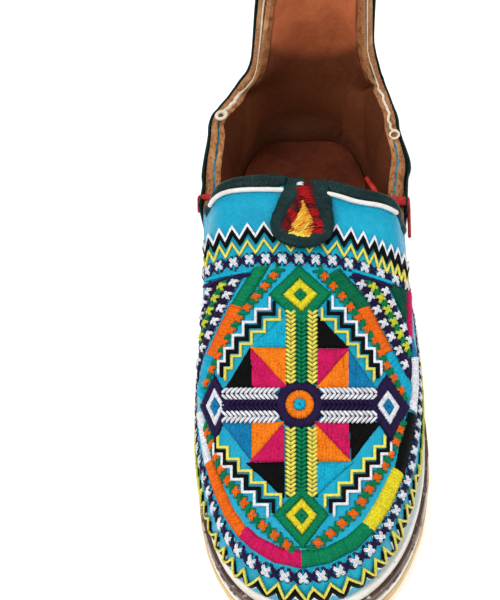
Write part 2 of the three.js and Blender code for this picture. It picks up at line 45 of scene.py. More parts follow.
# the last, as the solids have it; pairs are the outer side (+X) and the inner side (-X)
last = dict(length=255.0, heelWidth=75.0, ball=(49.0, 46.0), waist=(41.0, 39.0), shift=-1.5,
            ballShare=0.34, waistShare=0.63, heelShare=0.8, toeRound=(2.15, 2.5), heelRound=2.45,
            toeSpring=7.0, toeBreakY=-40.0, ledge=3.0, seam=0.3)
soleStack = dict(crepe=6.4, liftLower=3.9, liftUpper=2.3, lower=3.5, middle=4.2, upper=5.6, insole=3.0,
                 liftRampY=-6.0, liftStartY=8.0, liftFullY=78.0)
halfLength = last["length"] / 2
seam = last["seam"]
wobbleWaves = ((1, 1, 1), (0.7, 1.7, 2.3), (0.5, 2.9, 4.1))  # share, rate and phase of each wave


def smooth(value, low, high):
    t = np.clip((value - low) / (high - low), 0, 1)
    return t * t * (3 - 2 * t)


def lerp(a, b, t):
    return a + (b - a) * t


def unit(v):
    return v / np.maximum(np.linalg.norm(v, axis=-1, keepdims=True), 1e-12)


def lengths(points):  # distance along a line, at each of its points
    steps = np.linalg.norm(np.diff(points, axis=-2), axis=-1)
    return np.concatenate([np.zeros(steps.shape[:-1] + (1,)), np.cumsum(steps, axis=-1)], -1)


def wobble(at, seed, wave):  # a quiet irregular wave between -1 and 1
    turn = 2 * np.pi * np.asarray(at, float) / wave
    total = sum(share * np.sin(rate * turn + phase * seed) for share, rate, phase in wobbleWaves)
    return total / sum(share for share, _, _ in wobbleWaves)


def curveOver(x, y):  # smooth curve through the values y at x, without overshoot
    x, y = np.asarray(x, float), np.asarray(y, float)
    step = np.diff(x)
    slope = np.diff(y) / np.where(step > 0, step, 1)
    tangent = np.concatenate([slope[:1], np.zeros(len(x) - 2), slope[-1:]])
    before, after = slope[:-1], slope[1:]
    same = before * after > 0
    tangent[1:-1][same] = 2 * before[same] * after[same] / (before[same] + after[same])

    def at(value):
        value = np.clip(value, x[0], x[-1])
        i = np.clip(np.searchsorted(x, value, side="right") - 1, 0, len(x) - 2)
        width = x[i + 1] - x[i]
        s = (value - x[i]) / width
        rise = s * s * (3 - 2 * s)
        lead = width * s * (1 - s) * ((1 - s) * tangent[i] - s * tangent[i + 1])
        return y[i] * (1 - rise) + y[i + 1] * rise + lead
    return at


def curveThrough(rows):  # the same through rows of (at, value)
    return curveOver(*np.array(rows, float).T)


def halfWidth(share, side, inset):
    outer = side > 0
    ball = np.where(outer, *last["ball"]) - inset
    waist = np.where(outer, *last["waist"]) - inset
    heel = last["heelWidth"] / 2 - inset
    power = np.where(outer, *last["toeRound"])
    ballShare, waistShare, heelShare = last["ballShare"], last["waistShare"], last["heelShare"]
    toe = ball * (1 - (1 - np.clip(share / ballShare, 0, 1)) ** power) ** (1 / power)
    middle = np.where(share < waistShare, lerp(ball, waist, smooth(share, ballShare, waistShare)),
                      lerp(waist, heel, smooth(share, waistShare, heelShare)))
    past = np.clip((share - heelShare) / (1 - heelShare), 0, 1)
    end = heel * (1 - past ** last["heelRound"]) ** (1 / last["heelRound"])
    return np.where(share < ballShare, toe, np.where(share > heelShare, end, middle))


def outlineY(share, inset):
    return lerp(-halfLength + inset, halfLength - inset, share)


def soleBottom(y):
    ahead = (last["toeBreakY"] - y) / (halfLength + last["toeBreakY"])
    return last["toeSpring"] * np.clip(ahead, 0, None) ** 2


def soleHeights(y):  # bottom and top of each layer
    rise = smooth(y, soleStack["liftRampY"], soleStack["liftFullY"])
    joined = 1 - smooth(y, soleStack["liftRampY"], soleStack["liftStartY"])
    made = dict(outsole=(soleBottom(y), soleBottom(y) + soleStack["crepe"]))
    low = made["outsole"][1] + seam
    made["heel_lift_lower"] = (low, low + soleStack["liftLower"] * rise)
    low = made["heel_lift_lower"][1] + seam
    made["heel_lift_upper"] = (low, low + soleStack["liftUpper"] * rise)
    low = made["heel_lift_upper"][1] + seam - 2 * seam * joined
    for name in ("midsole_lower", "midsole_middle", "midsole_upper", "insole"):
        made[name] = (low, low + soleStack[name.split("_")[-1]])
        low = made[name][1] + seam
    return made


def soleTop(y):
    return soleHeights(y)["midsole_upper"][1]


# the wall of the upper
wall = dict(vamp=3.2, quarter=6.4, feather=4.2, thicken=0.8, flareBottom=22.0, flareTop=78.0, flarePower=1.5,
            throatY=26.2, throatBow=2.5, throatSkew=0.12, throatRange=(40.0, 90.0), halvings=40, cornerX=41.0,
            cornerShare=0.43, cornerBlend=(0.42, 0.48), tabHeight=142.0, probe=0.4, samples=401, ribSteps=81)
# how far the tab and the instep lean to +X and the tab's sides turn forward, each between two heights
tabLean = dict(by=8.0, low=58, high=96)
instepLean = dict(by=10.0, low=69, high=120)
tabCurl = dict(by=14.0, low=66, high=92, start=(6, 34), end=(45, 80))
heelLean = (0.45, 0.68)
frontAt = curveThrough([(27.3, -124.5), (34, -126), (41, -124), (47, -118), (52, -107), (56, -93), (61, -74),
                        (67, -50), (73.5, -25), (80.5, 0), (88, 24), (94, 44)])
backAt = curveThrough([(27.7, 124.5), (42, 123.5), (56, 121), (72, 119.3), (88, 117.5), (103, 115),
                       (122, 111), (142, 106)])
wallShares = [0, 0.2, 0.35, 0.43, 0.5, 0.65, 0.8, 0.92, 1]
bellyAt = curveOver(wallShares, [0.02, 0.025, 0.03, 0.025, 0.02, 0.01, 0.01, 0.01, 0.01])
outerFlareAt = curveOver(wallShares, [0.86, 0.84, 0.82, 0.885, 1, 1.2, 1.24, 1.15, 1.1])
innerFlareAt = curveOver(wallShares, [0.86, 0.86, 0.87, 0.94, 1.08, 1.24, 1.25, 1.14, 1.1])
outerTuckAt = curveOver(wallShares, [0.065, 0.065, 0.06, 0.045, 0.03, 0, 0, 0, 0])
innerTuckAt = curveOver(wallShares, [0, -0.025, -0.025, -0.02, -0.01, 0, 0, 0, 0])

featherShare = (1 - np.cos(np.linspace(0, np.pi, wall["samples"]))) / 2
featherX = halfWidth(featherShare, np.ones(wall["samples"]), last["ledge"])
featherRun = lengths(np.stack([featherX, outlineY(featherShare, last["ledge"])], -1))
sideRun = featherRun[-1]
cornerRun = float(np.interp(wall["cornerShare"], featherShare, featherRun))
cornerBack = sideRun - cornerRun


def nearRun(run):  # distance from the toe on either side
    wrapped = np.mod(run, 2 * sideRun)
    return np.where(wrapped > sideRun, 2 * sideRun - wrapped, wrapped)


def sideOf(run):  # 1 on the outer side, -1 on the inner side
    return np.where(np.mod(run, 2 * sideRun) > sideRun, -1.0, 1.0)


def shareAt(run):  # share of the outline's length
    return np.interp(nearRun(run), featherRun, featherShare)


def tuckAt(share, side):  # how far the foot of each side stands in off the sole's edge
    return np.where(side > 0, outerTuckAt(share), innerTuckAt(share))


def wallPoint(run, z):  # outer face; run goes once round from the toe, by way of +X
    run, z = np.broadcast_arrays(np.asarray(run, float), np.asarray(z, float))
    side, share = sideOf(run), shareAt(run)
    back = sideRun - nearRun(run)
    turned = smooth(back, *tabCurl["start"]) - smooth(back, *tabCurl["end"])
    curl = tabCurl["by"] * smooth(z, tabCurl["low"], tabCurl["high"]) * turned
    y = lerp(frontAt(z), backAt(z), share) - curl
    h = np.clip((z - wall["flareBottom"]) / (wall["flareTop"] - wall["flareBottom"]), 0, 1)
    flare = np.where(side > 0, outerFlareAt(share), innerFlareAt(share))
    tuck = tuckAt(share, side) * (1 - h) ** 2
    width = 1 + bellyAt(share) * np.sin(np.pi * h) + (flare - 1) * h ** wall["flarePower"] - tuck
    instep, tab = (way["by"] * smooth(z, way["low"], way["high"]) for way in (instepLean, tabLean))
    lean = lerp(instep, tab, smooth(share, *heelLean))
    x = side * halfWidth(share, side, last["ledge"]) * width + last["shift"] + lean
    return np.stack([x, y, z], -1)


def wallNormal(run, z):
    step = wall["probe"]
    along = wallPoint(run + step, z) - wallPoint(run - step, z)
    up = wallPoint(run, z + step) - wallPoint(run, z - step)
    return unit(np.cross(along, up))


def throatHeight(run):
    low, high = (np.full(np.shape(run), z) for z in wall["throatRange"])
    for _ in range(wall["halvings"]):
        z = (low + high) / 2
        at = wallPoint(run, z)
        x = at[..., 0] - last["shift"]
        edge = wall["throatY"] - wall["throatBow"] * (x / wall["cornerX"]) ** 2 - wall["throatSkew"] * x
        low, high = np.where(at[..., 1] < edge, z, low), np.where(at[..., 1] < edge, high, z)
    return low


# the topline behind the throat, by distance from the middle of the heel
tabRows = [(0, 142), (11.5, 140.8), (17.5, 138.4), (21, 135), (22.4, 129)]
neckRows = {1: [(23.6, 96), (27.5, 86.5), (33, 78.5), (42.5, 72)],
            -1: [(26.8, 102), (29.3, 88), (31, 77), (34, 70.5), (40, 67.5), (48, 67.2)]}
sideRows = [(56, 68), (80, 67), (115, 66.5)]
outerCollar, innerCollar = (
    curveThrough(tabRows + neckRows[side] + sideRows + [(cornerBack, float(throatHeight(side * cornerRun)))])
    for side in (1, -1))


def collarAt(back, side):
    return np.where(side > 0, outerCollar(back), innerCollar(back))


def toplineHeight(run):
    near, side = nearRun(run), sideOf(run)
    throat = throatHeight(side * np.minimum(near, cornerRun))
    return np.where(near < cornerRun, throat, collarAt(sideRun - near, side))


def toplineFrame(run):  # the edge, the way out of the wall and the way up off the edge
    run, step = np.asarray(run, float), wall["probe"]
    ahead, at, behind = (wallPoint(r, toplineHeight(r)) for r in (run + step, run, run - step))
    out = wallNormal(run, at[..., 2])
    return at, out, unit(np.cross(out, ahead - behind))


def offTopline(run, out, up):
    at, outward, upward = toplineFrame(run)
    return at + outward * np.asarray(out)[..., None] + upward * np.asarray(up)[..., None]


def wallThickness(run, level):
    quarter = lerp(wall["feather"], wall["quarter"], smooth(level, 0, wall["thicken"]))
    return lerp(wall["vamp"], quarter, smooth(shareAt(run), *wall["cornerBlend"]))


def ribTrace(run, count):  # heights up each rib from the feather line, and the leather's length to each
    start = soleTop(outlineY(shareAt(run), last["ledge"])) + seam
    trace = lerp(start[:, None], toplineHeight(run)[:, None], np.linspace(0, 1, count))
    return trace, lengths(wallPoint(run[:, None], trace))


def ribHeights(run, levels):  # heights that divide each rib evenly by length
    trace, length = ribTrace(np.asarray(run, float), wall["ribSteps"])
    return np.array([np.interp(levels * l[-1], l, t) for l, t in zip(length, trace)])


print("form ready: side run", round(float(sideRun), 1), "corner", round(cornerRun, 1))


# finishes
def linear(red, green, blue):  # from screen values
    return [c / 12.92 if c <= 0.04045 else ((c + 0.055) / 1.055) ** 2.4
            for c in (red / 255, green / 255, blue / 255)] + [1.0]


black = [0, 0, 0, 1]
colourMix = dict(factor=0, first=6, second=7, result=2)  # places of the sockets that mix colours


class Finish:  # a material with a short way to add nodes
    def __init__(self, name, rough, specular=0.5):
        self.material = bpy.data.materials.new(name)
        self.material.use_nodes = True
        self.tree = self.material.node_tree
        self.shader = self.tree.nodes["Principled BSDF"]
        self.feed(self.shader, {"Roughness": rough, "Specular IOR Level": specular})
        self.coords = self.node("TexCoord", {}).outputs["Object"]

    def feed(self, node, inputs):  # a number or a colour is set, an output is linked
        for socket, value in inputs.items():
            if isinstance(value, bpy.types.NodeSocket):
                self.tree.links.new(value, node.inputs[socket])
            else:
                node.inputs[socket].default_value = value

    def node(self, kind, inputs, **settings):
        made = self.tree.nodes.new("ShaderNode" + kind)
        for name, value in settings.items():
            setattr(made, name, value)
        self.feed(made, inputs)
        return made

    def noise(self, scale, detail=4.0, rough=0.55, stretch=None):
        place = self.coords
        if stretch is not None:
            place = self.node("Mapping", {"Vector": place, "Scale": stretch}).outputs["Vector"]
        inputs = {"Vector": place, "Scale": scale, "Detail": detail, "Roughness": rough}
        return self.node("TexNoise", inputs).outputs["Fac"]

    def cells(self, scale):
        return self.node("TexVoronoi", {"Vector": self.coords, "Scale": scale}).outputs["Distance"]

    def attribute(self, name, output="Fac"):
        return self.node("Attribute", {}, attribute_name=name).outputs[output]

    def math(self, operation, a, b):
        return self.node("Math", {0: a, 1: b}, operation=operation).outputs[0]

    def along(self, way):
        return self.node("VectorMath", {0: self.coords, 1: way}, operation="DOT_PRODUCT").outputs["Value"]

    def ranged(self, source, low, high, to=(0.0, 1.0)):
        inputs = {"Value": source, "From Min": low, "From Max": high, "To Min": to[0], "To Max": to[1]}
        return self.node("MapRange", inputs, interpolation_type="SMOOTHSTEP").outputs["Result"]

    def mix(self, factor, a, b):
        inputs = {colourMix["factor"]: factor, colourMix["first"]: a, colourMix["second"]: b}
        return self.node("Mix", inputs, data_type="RGBA").outputs[colourMix["result"]]

    def colour(self, source):
        self.feed(self.shader, {"Base Color": source})

    def glow(self, colour, strength):
        self.feed(self.shader, {"Emission Color": colour, "Emission Strength": strength})

    def rough(self, source, low, high, over=(0.3, 0.7)):
        self.feed(self.shader, {"Roughness": self.ranged(source, *over, (low, high))})

    def bump(self, source, depth, strength=1.0):
        node = self.node("Bump", {"Height": source, "Strength": strength, "Distance": depth * mm})
        held = self.shader.inputs["Normal"]
        if held.links:
            self.feed(node, {"Normal": held.links[0].from_socket})
        self.feed(self.shader, {"Normal": node.outputs["Normal"]})


# where a hide's tone turns dark and light, and how its grain flecks, roughens and creases it
hide = dict(dark=(0.3, 0.55), light=(0.52, 0.75), fleckScale=0.5, fleck=(0.35, 0.65), fleckDark=0.12,
            roughLess=0.06, roughMore=0.12, creaseScale=0.3, creaseDepth=1.2, fibreScale=300)


def leather(name, dark, base, light, rough=0.45, patch=45, grain=1300, depth=0.12, worn=0.5, shine=0.3,
            rise=None, strip=None):
    finish = Finish(name, rough, shine)
    tone = finish.noise(patch, detail=5)
    shade = finish.mix(finish.ranged(tone, *hide["dark"]), linear(*dark), linear(*base))
    shade = finish.mix(finish.ranged(tone, *hide["light"], (0, worn)), shade, linear(*light))
    fleck = finish.noise(grain * hide["fleckScale"], detail=3)
    shade = finish.mix(finish.ranged(fleck, *hide["fleck"], (hide["fleckDark"], 0.0)), shade, black)
    if rise:  # painted shade: darker inside the heel below a height, full colour up the tab
        height = finish.along(rise["way"])
        depthShade = finish.ranged(height, rise["low"] * mm, rise["high"] * mm, (rise["dark"], 0.0))
        shade = finish.mix(depthShade, shade, black)
    if strip:  # a cut strip along the edge, and painted shade: in the narrow cut beside the strip, at the lining's foot and along its side walls
        fibre = finish.ranged(finish.noise(hide["fibreScale"], detail=5), *hide["fleck"])
        cut = finish.mix(fibre, linear(*strip["dark"]), linear(*strip["light"]))
        shade = finish.mix(finish.attribute("strip"), shade, cut)
        slitAndShade = finish.math("MULTIPLY", finish.attribute("slitAndShade"), strip["depth"])
        shade = finish.mix(slitAndShade, shade, black)
    finish.colour(shade)
    finish.rough(fleck, rough - hide["roughLess"], rough + hide["roughMore"])
    finish.bump(finish.cells(grain), depth)
    finish.bump(finish.noise(grain * hide["creaseScale"]), depth * hide["creaseDepth"])
    return finish.material


# how a painted edge wears: patches, specks of the colour below and the ragged line along its rim
paint = dict(rough=0.5, shine=0.35, patch=70, worn=(0.35, 0.7), speckScale=420, speck=(0.62, 0.72),
             speckShare=0.5, raggedScale=240, raggedRough=0.7, raggedSoft=0.12,
             coarse=dict(scale=260, detail=5, depth=0.25), fine=dict(scale=900, detail=3, depth=0.08))


def painted(name, base, worn, under, rimStart, rimStray):
    finish = Finish(name, paint["rough"], paint["shine"])
    patches = finish.ranged(finish.noise(paint["patch"], detail=5), *paint["worn"])
    shade = finish.mix(patches, linear(*base), linear(*worn))
    specks = finish.ranged(finish.noise(paint["speckScale"], detail=3), *paint["speck"])
    shade = finish.mix(finish.math("MULTIPLY", specks, paint["speckShare"]), shade, linear(*under))
    stray = finish.math("MULTIPLY", finish.noise(paint["raggedScale"], rough=paint["raggedRough"]), rimStray)
    reach = finish.math("ADD", finish.attribute("band"), stray)
    shade = finish.mix(finish.ranged(reach, rimStart, rimStart + paint["raggedSoft"]), shade, linear(*under))
    finish.colour(shade)
    for bumps in (paint["coarse"], paint["fine"]):
        finish.bump(finish.noise(bumps["scale"], bumps["detail"]), bumps["depth"])
    return finish.material


cutLook = dict(rough=0.75, shine=0.25, dark=(104, 60, 34), base=(170, 114, 68), pale=(206, 156, 104),
               fibre=900, fibreRough=0.6, stretch=(1.0, 0.45, 1.6), fibres=(0.3, 0.6), patch=90,
               pales=(0.5, 0.75), paleShare=0.7, depth=0.35)


def rawEdge():  # cut leather: fibres that run along the edge
    finish = Finish("rawEdge", cutLook["rough"], cutLook["shine"])
    fibre = finish.noise(cutLook["fibre"], detail=5, rough=cutLook["fibreRough"], stretch=cutLook["stretch"])
    shade = finish.mix(finish.ranged(fibre, *cutLook["fibres"]), linear(*cutLook["dark"]),
                       linear(*cutLook["base"]))
    patches = finish.ranged(finish.noise(cutLook["patch"]), *cutLook["pales"], (0, cutLook["paleShare"]))
    finish.colour(finish.mix(patches, shade, linear(*cutLook["pale"])))
    finish.bump(fibre, cutLook["depth"])
    return finish.material


crepeLook = dict(rough=0.62, shine=0.35, base=(202, 164, 106), pale=(226, 194, 138), deep=(164, 122, 70),
                 patch=60, pales=(0.35, 0.68), pitScale=520, pitReach=0.28, pitShade=0.35, pitDepth=0.12,
                 ripple=330, rippleRough=0.6, stretch=(1, 1, 2.6), rippleDepth=0.35)


def crepeRubber():
    finish = Finish("crepeRubber", crepeLook["rough"], crepeLook["shine"])
    patches = finish.ranged(finish.noise(crepeLook["patch"], detail=5), *crepeLook["pales"])
    shade = finish.mix(patches, linear(*crepeLook["base"]), linear(*crepeLook["pale"]))
    # painted shade in the pits: the colour darkens towards the deep tone in each pit's hollow
    pits = finish.ranged(finish.cells(crepeLook["pitScale"]), 0.0, crepeLook["pitReach"])
    flat = finish.math("MULTIPLY", pits, crepeLook["pitShade"])
    deep = finish.math("SUBTRACT", crepeLook["pitShade"], flat)
    finish.colour(finish.mix(deep, shade, linear(*crepeLook["deep"])))
    ripple = finish.noise(crepeLook["ripple"], rough=crepeLook["rippleRough"], stretch=crepeLook["stretch"])
    finish.bump(ripple, crepeLook["rippleDepth"])
    finish.bump(pits, crepeLook["pitDepth"])
    return finish.material


blueLeather = leather("blueLeather", (2, 146, 182), (4, 160, 194), (34, 178, 206), rough=0.36, patch=30,
                      grain=1050, depth=0.2, worn=0.6, shine=0.22)
tealLeather = leather("tealLeather", (3, 28, 28), (7, 42, 42), (24, 58, 58), rough=0.42, patch=120,
                      grain=1000, depth=0.22, worn=0.6, shine=0.15)
# painted shade on the lining: rise darkens it inside the heel below a height, and the strip's depth sets how
# dark its painted shade is beside the cut strip, at the foot and along the sides
liningLeather = leather("liningLeather", (178, 94, 56), (198, 110, 68), (206, 122, 78), rough=0.6, patch=34,
                        grain=900, worn=0.6, shine=0.15,
                        rise=dict(way=(0, 0.77, 0.64), low=138.5, high=145, dark=0.68),
                        strip=dict(dark=(124, 72, 42), light=(170, 112, 70), depth=0.75))
insoleLeather = leather("insoleLeather", (80, 34, 20), (106, 50, 30), (124, 64, 42), rough=0.6, patch=28,
                        grain=800, depth=0.14, worn=0.7, shine=0.15)
pipingVinyl = leather("pipingVinyl", (214, 208, 204), (232, 228, 224), (245, 242, 238), rough=0.34, patch=60,
                      grain=700, depth=0.05)
creamVinyl = leather("creamVinyl", (196, 184, 160), (226, 216, 194), (240, 234, 220), rough=0.42, patch=90,
                     grain=700, depth=0.07)
blueVinyl = leather("blueVinyl", (40, 96, 112), (70, 140, 158), (150, 186, 190), rough=0.4, patch=80,
                    grain=700, depth=0.06)
thongLeather = leather("thongLeather", (120, 12, 12), (188, 28, 24), (214, 62, 44), rough=0.6, patch=160,
                       grain=1100, depth=0.16, worn=0.7)
patchCloth = leather("patchCloth", (34, 20, 20), (72, 26, 22), (120, 40, 26), rough=0.75, patch=260,
                     grain=900, depth=0.2, worn=0.6, shine=0.1)
rawLeather = rawEdge()
crepe = crepeRubber()
creamPaint = painted("creamPaint", (232, 227, 218), (214, 206, 192), (120, 92, 72), rimStart=1.35,
                     rimStray=0.75)
creamRand = painted("creamRand", (234, 230, 222), (220, 213, 202), (92, 62, 48), rimStart=1.6, rimStray=0.8)
brownPaint = painted("brownPaint", (74, 50, 42), (92, 66, 54), (226, 218, 206), rimStart=1.47, rimStray=0.8)

# modelling helpers
weld = dict(join=0.002, sliver=0.001)


def finishPiece(bm, name, materials, sharpAngle=None):
    bmesh.ops.remove_doubles(bm, verts=bm.verts, dist=weld["join"] * mm)
    bmesh.ops.dissolve_degenerate(bm, edges=bm.edges, dist=weld["sliver"] * mm)
    bmesh.ops.recalc_face_normals(bm, faces=bm.faces)
    for face in bm.faces:
        face.smooth = True
    if sharpAngle is not None:
        for edge in bm.edges:
            if len(edge.link_faces) == 2 and edge.calc_face_angle(0) > math.radians(sharpAngle):
                edge.smooth = False
    mesh = bpy.data.meshes.new(name)
    bm.to_mesh(mesh)
    bm.free()
    piece = bpy.data.objects.new(name, mesh)
    for material in materials:
        mesh.materials.append(material)
    bpy.context.scene.collection.objects.link(piece)
    return piece


def gridPiece(name, places, materials, rowMaterial=None, values=None, sharpAngle=None):
    # a grid bent to the places given for its columns and rows
    columns, rows = places.shape[0] - 1, places.shape[1] - 1
    bm = bmesh.new()
    bmesh.ops.create_grid(bm, x_segments=columns, y_segments=rows, size=0.5)
    layers = {key: bm.verts.layers.float.new(key) for key in (values or {})}
    spots = {}
    for v in bm.verts:
        spots[v] = (round((v.co.x + 0.5) * columns), round((v.co.y + 0.5) * rows))
    if rowMaterial is not None:
        for face in bm.faces:
            face.material_index = rowMaterial[min(spots[v][1] for v in face.verts)]
    for v, (i, j) in spots.items():
        v.co = Vector(places[i, j]) * mm
        for key, layer in layers.items():
            v[layer] = values[key][i, j]
    return finishPiece(bm, name, materials, sharpAngle)


def oval(angle, power):  # across and up on a section, boxier as the power falls
    return (np.sign(way) * np.abs(way) ** power for way in (np.cos(angle), np.sin(angle)))


def capped(places):  # both ends drawn together to a point
    ends = [np.broadcast_to(places[i].mean(0), places[i].shape)[None] for i in (0, -1)]
    return np.concatenate([ends[0], places, ends[1]])


def sweepPiece(name, path, side, up, halfWide, halfHigh, material, around=16, boxy=2.0, roundEnd=6):
    # a soft bar along a path, with an oval section and round ends
    path, side, up = (np.asarray(v, float) for v in (path, side, up))
    halfWide, halfHigh = (np.broadcast_to(half, len(path)) for half in (halfWide, halfHigh))
    way = unit(np.gradient(path, axis=0))
    side = unit(side - way * (side * way).sum(-1, keepdims=True))
    up = np.cross(side, way) * np.sign((np.cross(side, way) * up).sum(-1, keepdims=True))
    across, high = oval(np.linspace(0, 2 * np.pi, around + 1), 2 / boxy)
    places = (path[:, None] + side[:, None] * (halfWide[:, None] * across)[..., None]
              + up[:, None] * (halfHigh[:, None] * high)[..., None])
    turns = np.linspace(0, np.pi / 2, roundEnd + 1)[1:]
    reach = min(halfWide[0], halfHigh[0])
    first = [lerp(path[0], places[0], np.cos(t)) - way[0] * reach * np.sin(t) for t in turns[::-1]]
    final = [lerp(path[-1], places[-1], np.cos(t)) + way[-1] * reach * np.sin(t) for t in turns]
    return gridPiece(name, np.concatenate([first, places, final]), [material])


def wear(piece, slotName, *nodes):
    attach(piece, "root")
    if nodes:
        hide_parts(*nodes)
    return piece


# sole
sole = dict(stations=150, liftStations=90, across=12, sideRows=7, waver=0.16, waverWave=34.0, waverTurn=3,
            sharp=40, creamInset=0.4, brownInset=0.9, liftInset=0.7)
# side profiles: inset from the outline and share of the layer's height
crepeSide = [(1.6, 0), (0.8, 0.06), (0.2, 0.16), (0, 0.3), (0.1, 0.5), (0, 0.75), (0.15, 1)]
randSide = [(2.3, 0), (2.15, 0.08), (2.2, 0.35), (2.2, 0.6), (2.3, 0.8), (2.55, 0.94), (3.0, 1)]
insoleSide = [(8.0, 0), (7.8, 0.25), (7.8, 0.6), (7.9, 0.85), (8.4, 1)]
liftShare = (soleStack["liftStartY"] + halfLength) / last["length"]


def straight(inset):
    return [(inset, level) for level in np.linspace(0, 1, sole["sideRows"])]


def soleLayer(name, node, profile, material):
    lift = node.startswith("heel_lift")
    start = math.acos(1 - 2 * liftShare) if lift else 0.0
    share = (1 - np.cos(np.linspace(start, np.pi, sole["liftStations" if lift else "stations"] + 1))) / 2
    across = np.linspace(-1, 1, sole["across"] + 1)

    def spot(inset, level, place, ragged):
        y = outlineY(share, inset)
        low, high = soleHeights(y)[node]
        side = np.full_like(share, 1.0 if place > 0 else -1.0)
        waver = wobble(y * side, sole["waverTurn"] * level + len(name), sole["waverWave"]) * sole["waver"]
        reach = 1 - tuckAt(share, side) if node == "insole" else 1
        x = place * halfWidth(share, side, inset + waver * ragged) * reach + last["shift"]
        return np.stack([x, y, lerp(low, high, level)], -1)

    loop = [spot(profile[0][0], 0, place, 0) for place in across[1:-1]]
    loop += [spot(inset, level, 1, 1) for inset, level in profile]
    loop += [spot(profile[-1][0], 1, place, 0) for place in across[-2:0:-1]]
    loop += [spot(inset, level, -1, 1) for inset, level in profile[::-1]]
    places = np.stack(loop + loop[:1], 1)
    if lift:
        places = capped(places)[:-1]
    levels = [level for _, level in profile]
    inner = sole["across"] - 1
    rim = np.array([0] * inner + levels + [1] * inner + levels[::-1] + [0], float)
    values = dict(band=np.broadcast_to(rim, places.shape[:2]))
    return gridPiece(name, places, [material], values=values, sharpAngle=sole["sharp"])


soleLayers = [("outsole_crepe", "outsole", crepeSide, crepe, "crepe_outsole"),
              ("lift_cream", "heel_lift_lower", straight(sole["creamInset"]), creamPaint, "cream_layer"),
              ("lift_brown", "heel_lift_upper", straight(sole["liftInset"]), brownPaint, "brown_layer"),
              ("layer_cream", "midsole_lower", straight(sole["creamInset"]), creamPaint, "cream_layer"),
              ("layer_brown", "midsole_middle", straight(sole["brownInset"]), brownPaint, "brown_layer"),
              ("layer_rand", "midsole_upper", randSide, creamRand, "cream_layer"),
              ("insole_board", "insole", insoleSide, insoleLeather, "insole_leather")]
for name, node, profile, material, slotName in soleLayers:
    wear(soleLayer(name, node, profile, material), slotName, node)
print("sole layers made")

# upper: outer leather, the layered cut edge and the lining, as one closed wall
# an edge layer is the share of the wall where it ends, and its seed
upper = dict(step=1.15, collarLeast=4, outerRows=40, innerRows=34, sharp=55, edgeFrom=(2, 10), edgeRound=0.5,
             edgePower=6, edgeWaver=0.45, edgeWave=13.0, edgeLayers=((0.5, 1.0), (0.64, 2.6), (1.0, 4.4)),
             grooveAt=0.57, grooveWide=0.07, grooveDepth=0.9, stripRows=(0.47, 0.62), upright=0.2, cove=1.0,
             heelCove=4.5, heelCoveWide=20.0, coveEnd=(0.05, 0.14), footShade=(0.08, 0.24), footDark=0.75,
             sideShade=(30, 50), sideDark=0.4)
# the cut strip along the tab: its width, the sunk cut beside it, which is darkened with painted shade, how
# far they rise and sink, where they begin
tabStrip = dict(width=(2.0, 2.7), slitAndShade=(2.7, 3.3), rise=0.4, deep=0.6, low=(76, 90), slitLow=(84, 98),
                marks=200)
# stations round the heel, by distance from its middle
tabMarks = [0, 11.5, 17.5, 21, 22.4, 23.6, 25.5, 27.5, 29.3, 31, 34, 38, 43, 51, 61, 74, 88, 103, 118,
            cornerBack]
rimShares = np.array([0.04, 0.16, 0.3, 0.42, 0.48, 0.52, 0.57, 0.62, 0.66, 0.72, 0.84, 0.96])
# creases of the lining: distance from the heel and level along each, width and depth
liningCreases = dict(
    kinkLeft=dict(side=-1, path=[(30, 0.98), (34, 0.6), (40, 0.25)], wide=4.5, deep=1.3),
    kinkRight=dict(side=1, path=[(34, 0.98), (40, 0.6), (44, 0.3)], wide=4.5, deep=1.3),
    sideLeft=dict(side=-1, path=[(66, 0.95), (60, 0.5), (52, 0.2)], wide=7.0, deep=0.9),
    sideRight=dict(side=1, path=[(70, 0.95), (62, 0.5), (55, 0.2)], wide=7.0, deep=0.9))
creaseFade = (-0.12, 0.08)
outerFaces, liningFaces, rawFaces, stripFaces = range(4)


def refined(marks, step, least=1):
    parts = [np.linspace(a, b, max(least, math.ceil(abs(b - a) / step)) + 1)[:-1]
             for a, b in zip(marks, marks[1:])]
    return np.concatenate(parts + [marks[-1:]])


collarBacks = refined(tabMarks, upper["step"], upper["collarLeast"])
vampRuns = refined([0, cornerRun], upper["step"])
sideRuns = np.concatenate([vampRuns[:-1], (sideRun - collarBacks)[::-1]])
ringRuns = np.concatenate([sideRuns, 2 * sideRun - sideRuns[1:-1][::-1], [2 * sideRun]])
outerLevels = np.linspace(0, 1, upper["outerRows"] + 1)
innerLevels = np.linspace(1, 0, upper["innerRows"] + 1)


def creaseDepth(run, level):
    back, side = sideRun - nearRun(run), sideOf(run)
    total = np.zeros(np.broadcast(run, level).shape)
    for crease in liningCreases.values():
        at, where = np.array(crease["path"], float).T
        line = np.interp(level, where[::-1], at[::-1])
        fade = smooth(level, *(where[-1] + by for by in creaseFade))
        trough = crease["deep"] * fade * np.exp(-((back - line) / crease["wide"]) ** 2)
        total += np.where(side == crease["side"], trough, 0)
    return total


def innerPoint(run, z, level):  # the lining turns in over the insole at its foot
    normal = wallNormal(run, z)
    normal[..., 2] *= smooth(level, 0, upper["upright"])
    heel = np.exp(-((sideRun - nearRun(run)) / upper["heelCoveWide"]) ** 2)
    cove = (upper["cove"] + upper["heelCove"] * heel) * (1 - smooth(level, *upper["coveEnd"]))
    return wallPoint(run, z) - unit(normal) * (wallThickness(run, level) + cove)[..., None]


outerZ = ribHeights(ringRuns, outerLevels)
outerFace = wallPoint(ringRuns[:, None], outerZ)
innerZ = ribHeights(ringRuns, innerLevels)
innerRun, innerLevel = np.broadcast_arrays(ringRuns[:, None], innerLevels[None])
innerFace = innerPoint(innerRun, innerZ, innerLevel)


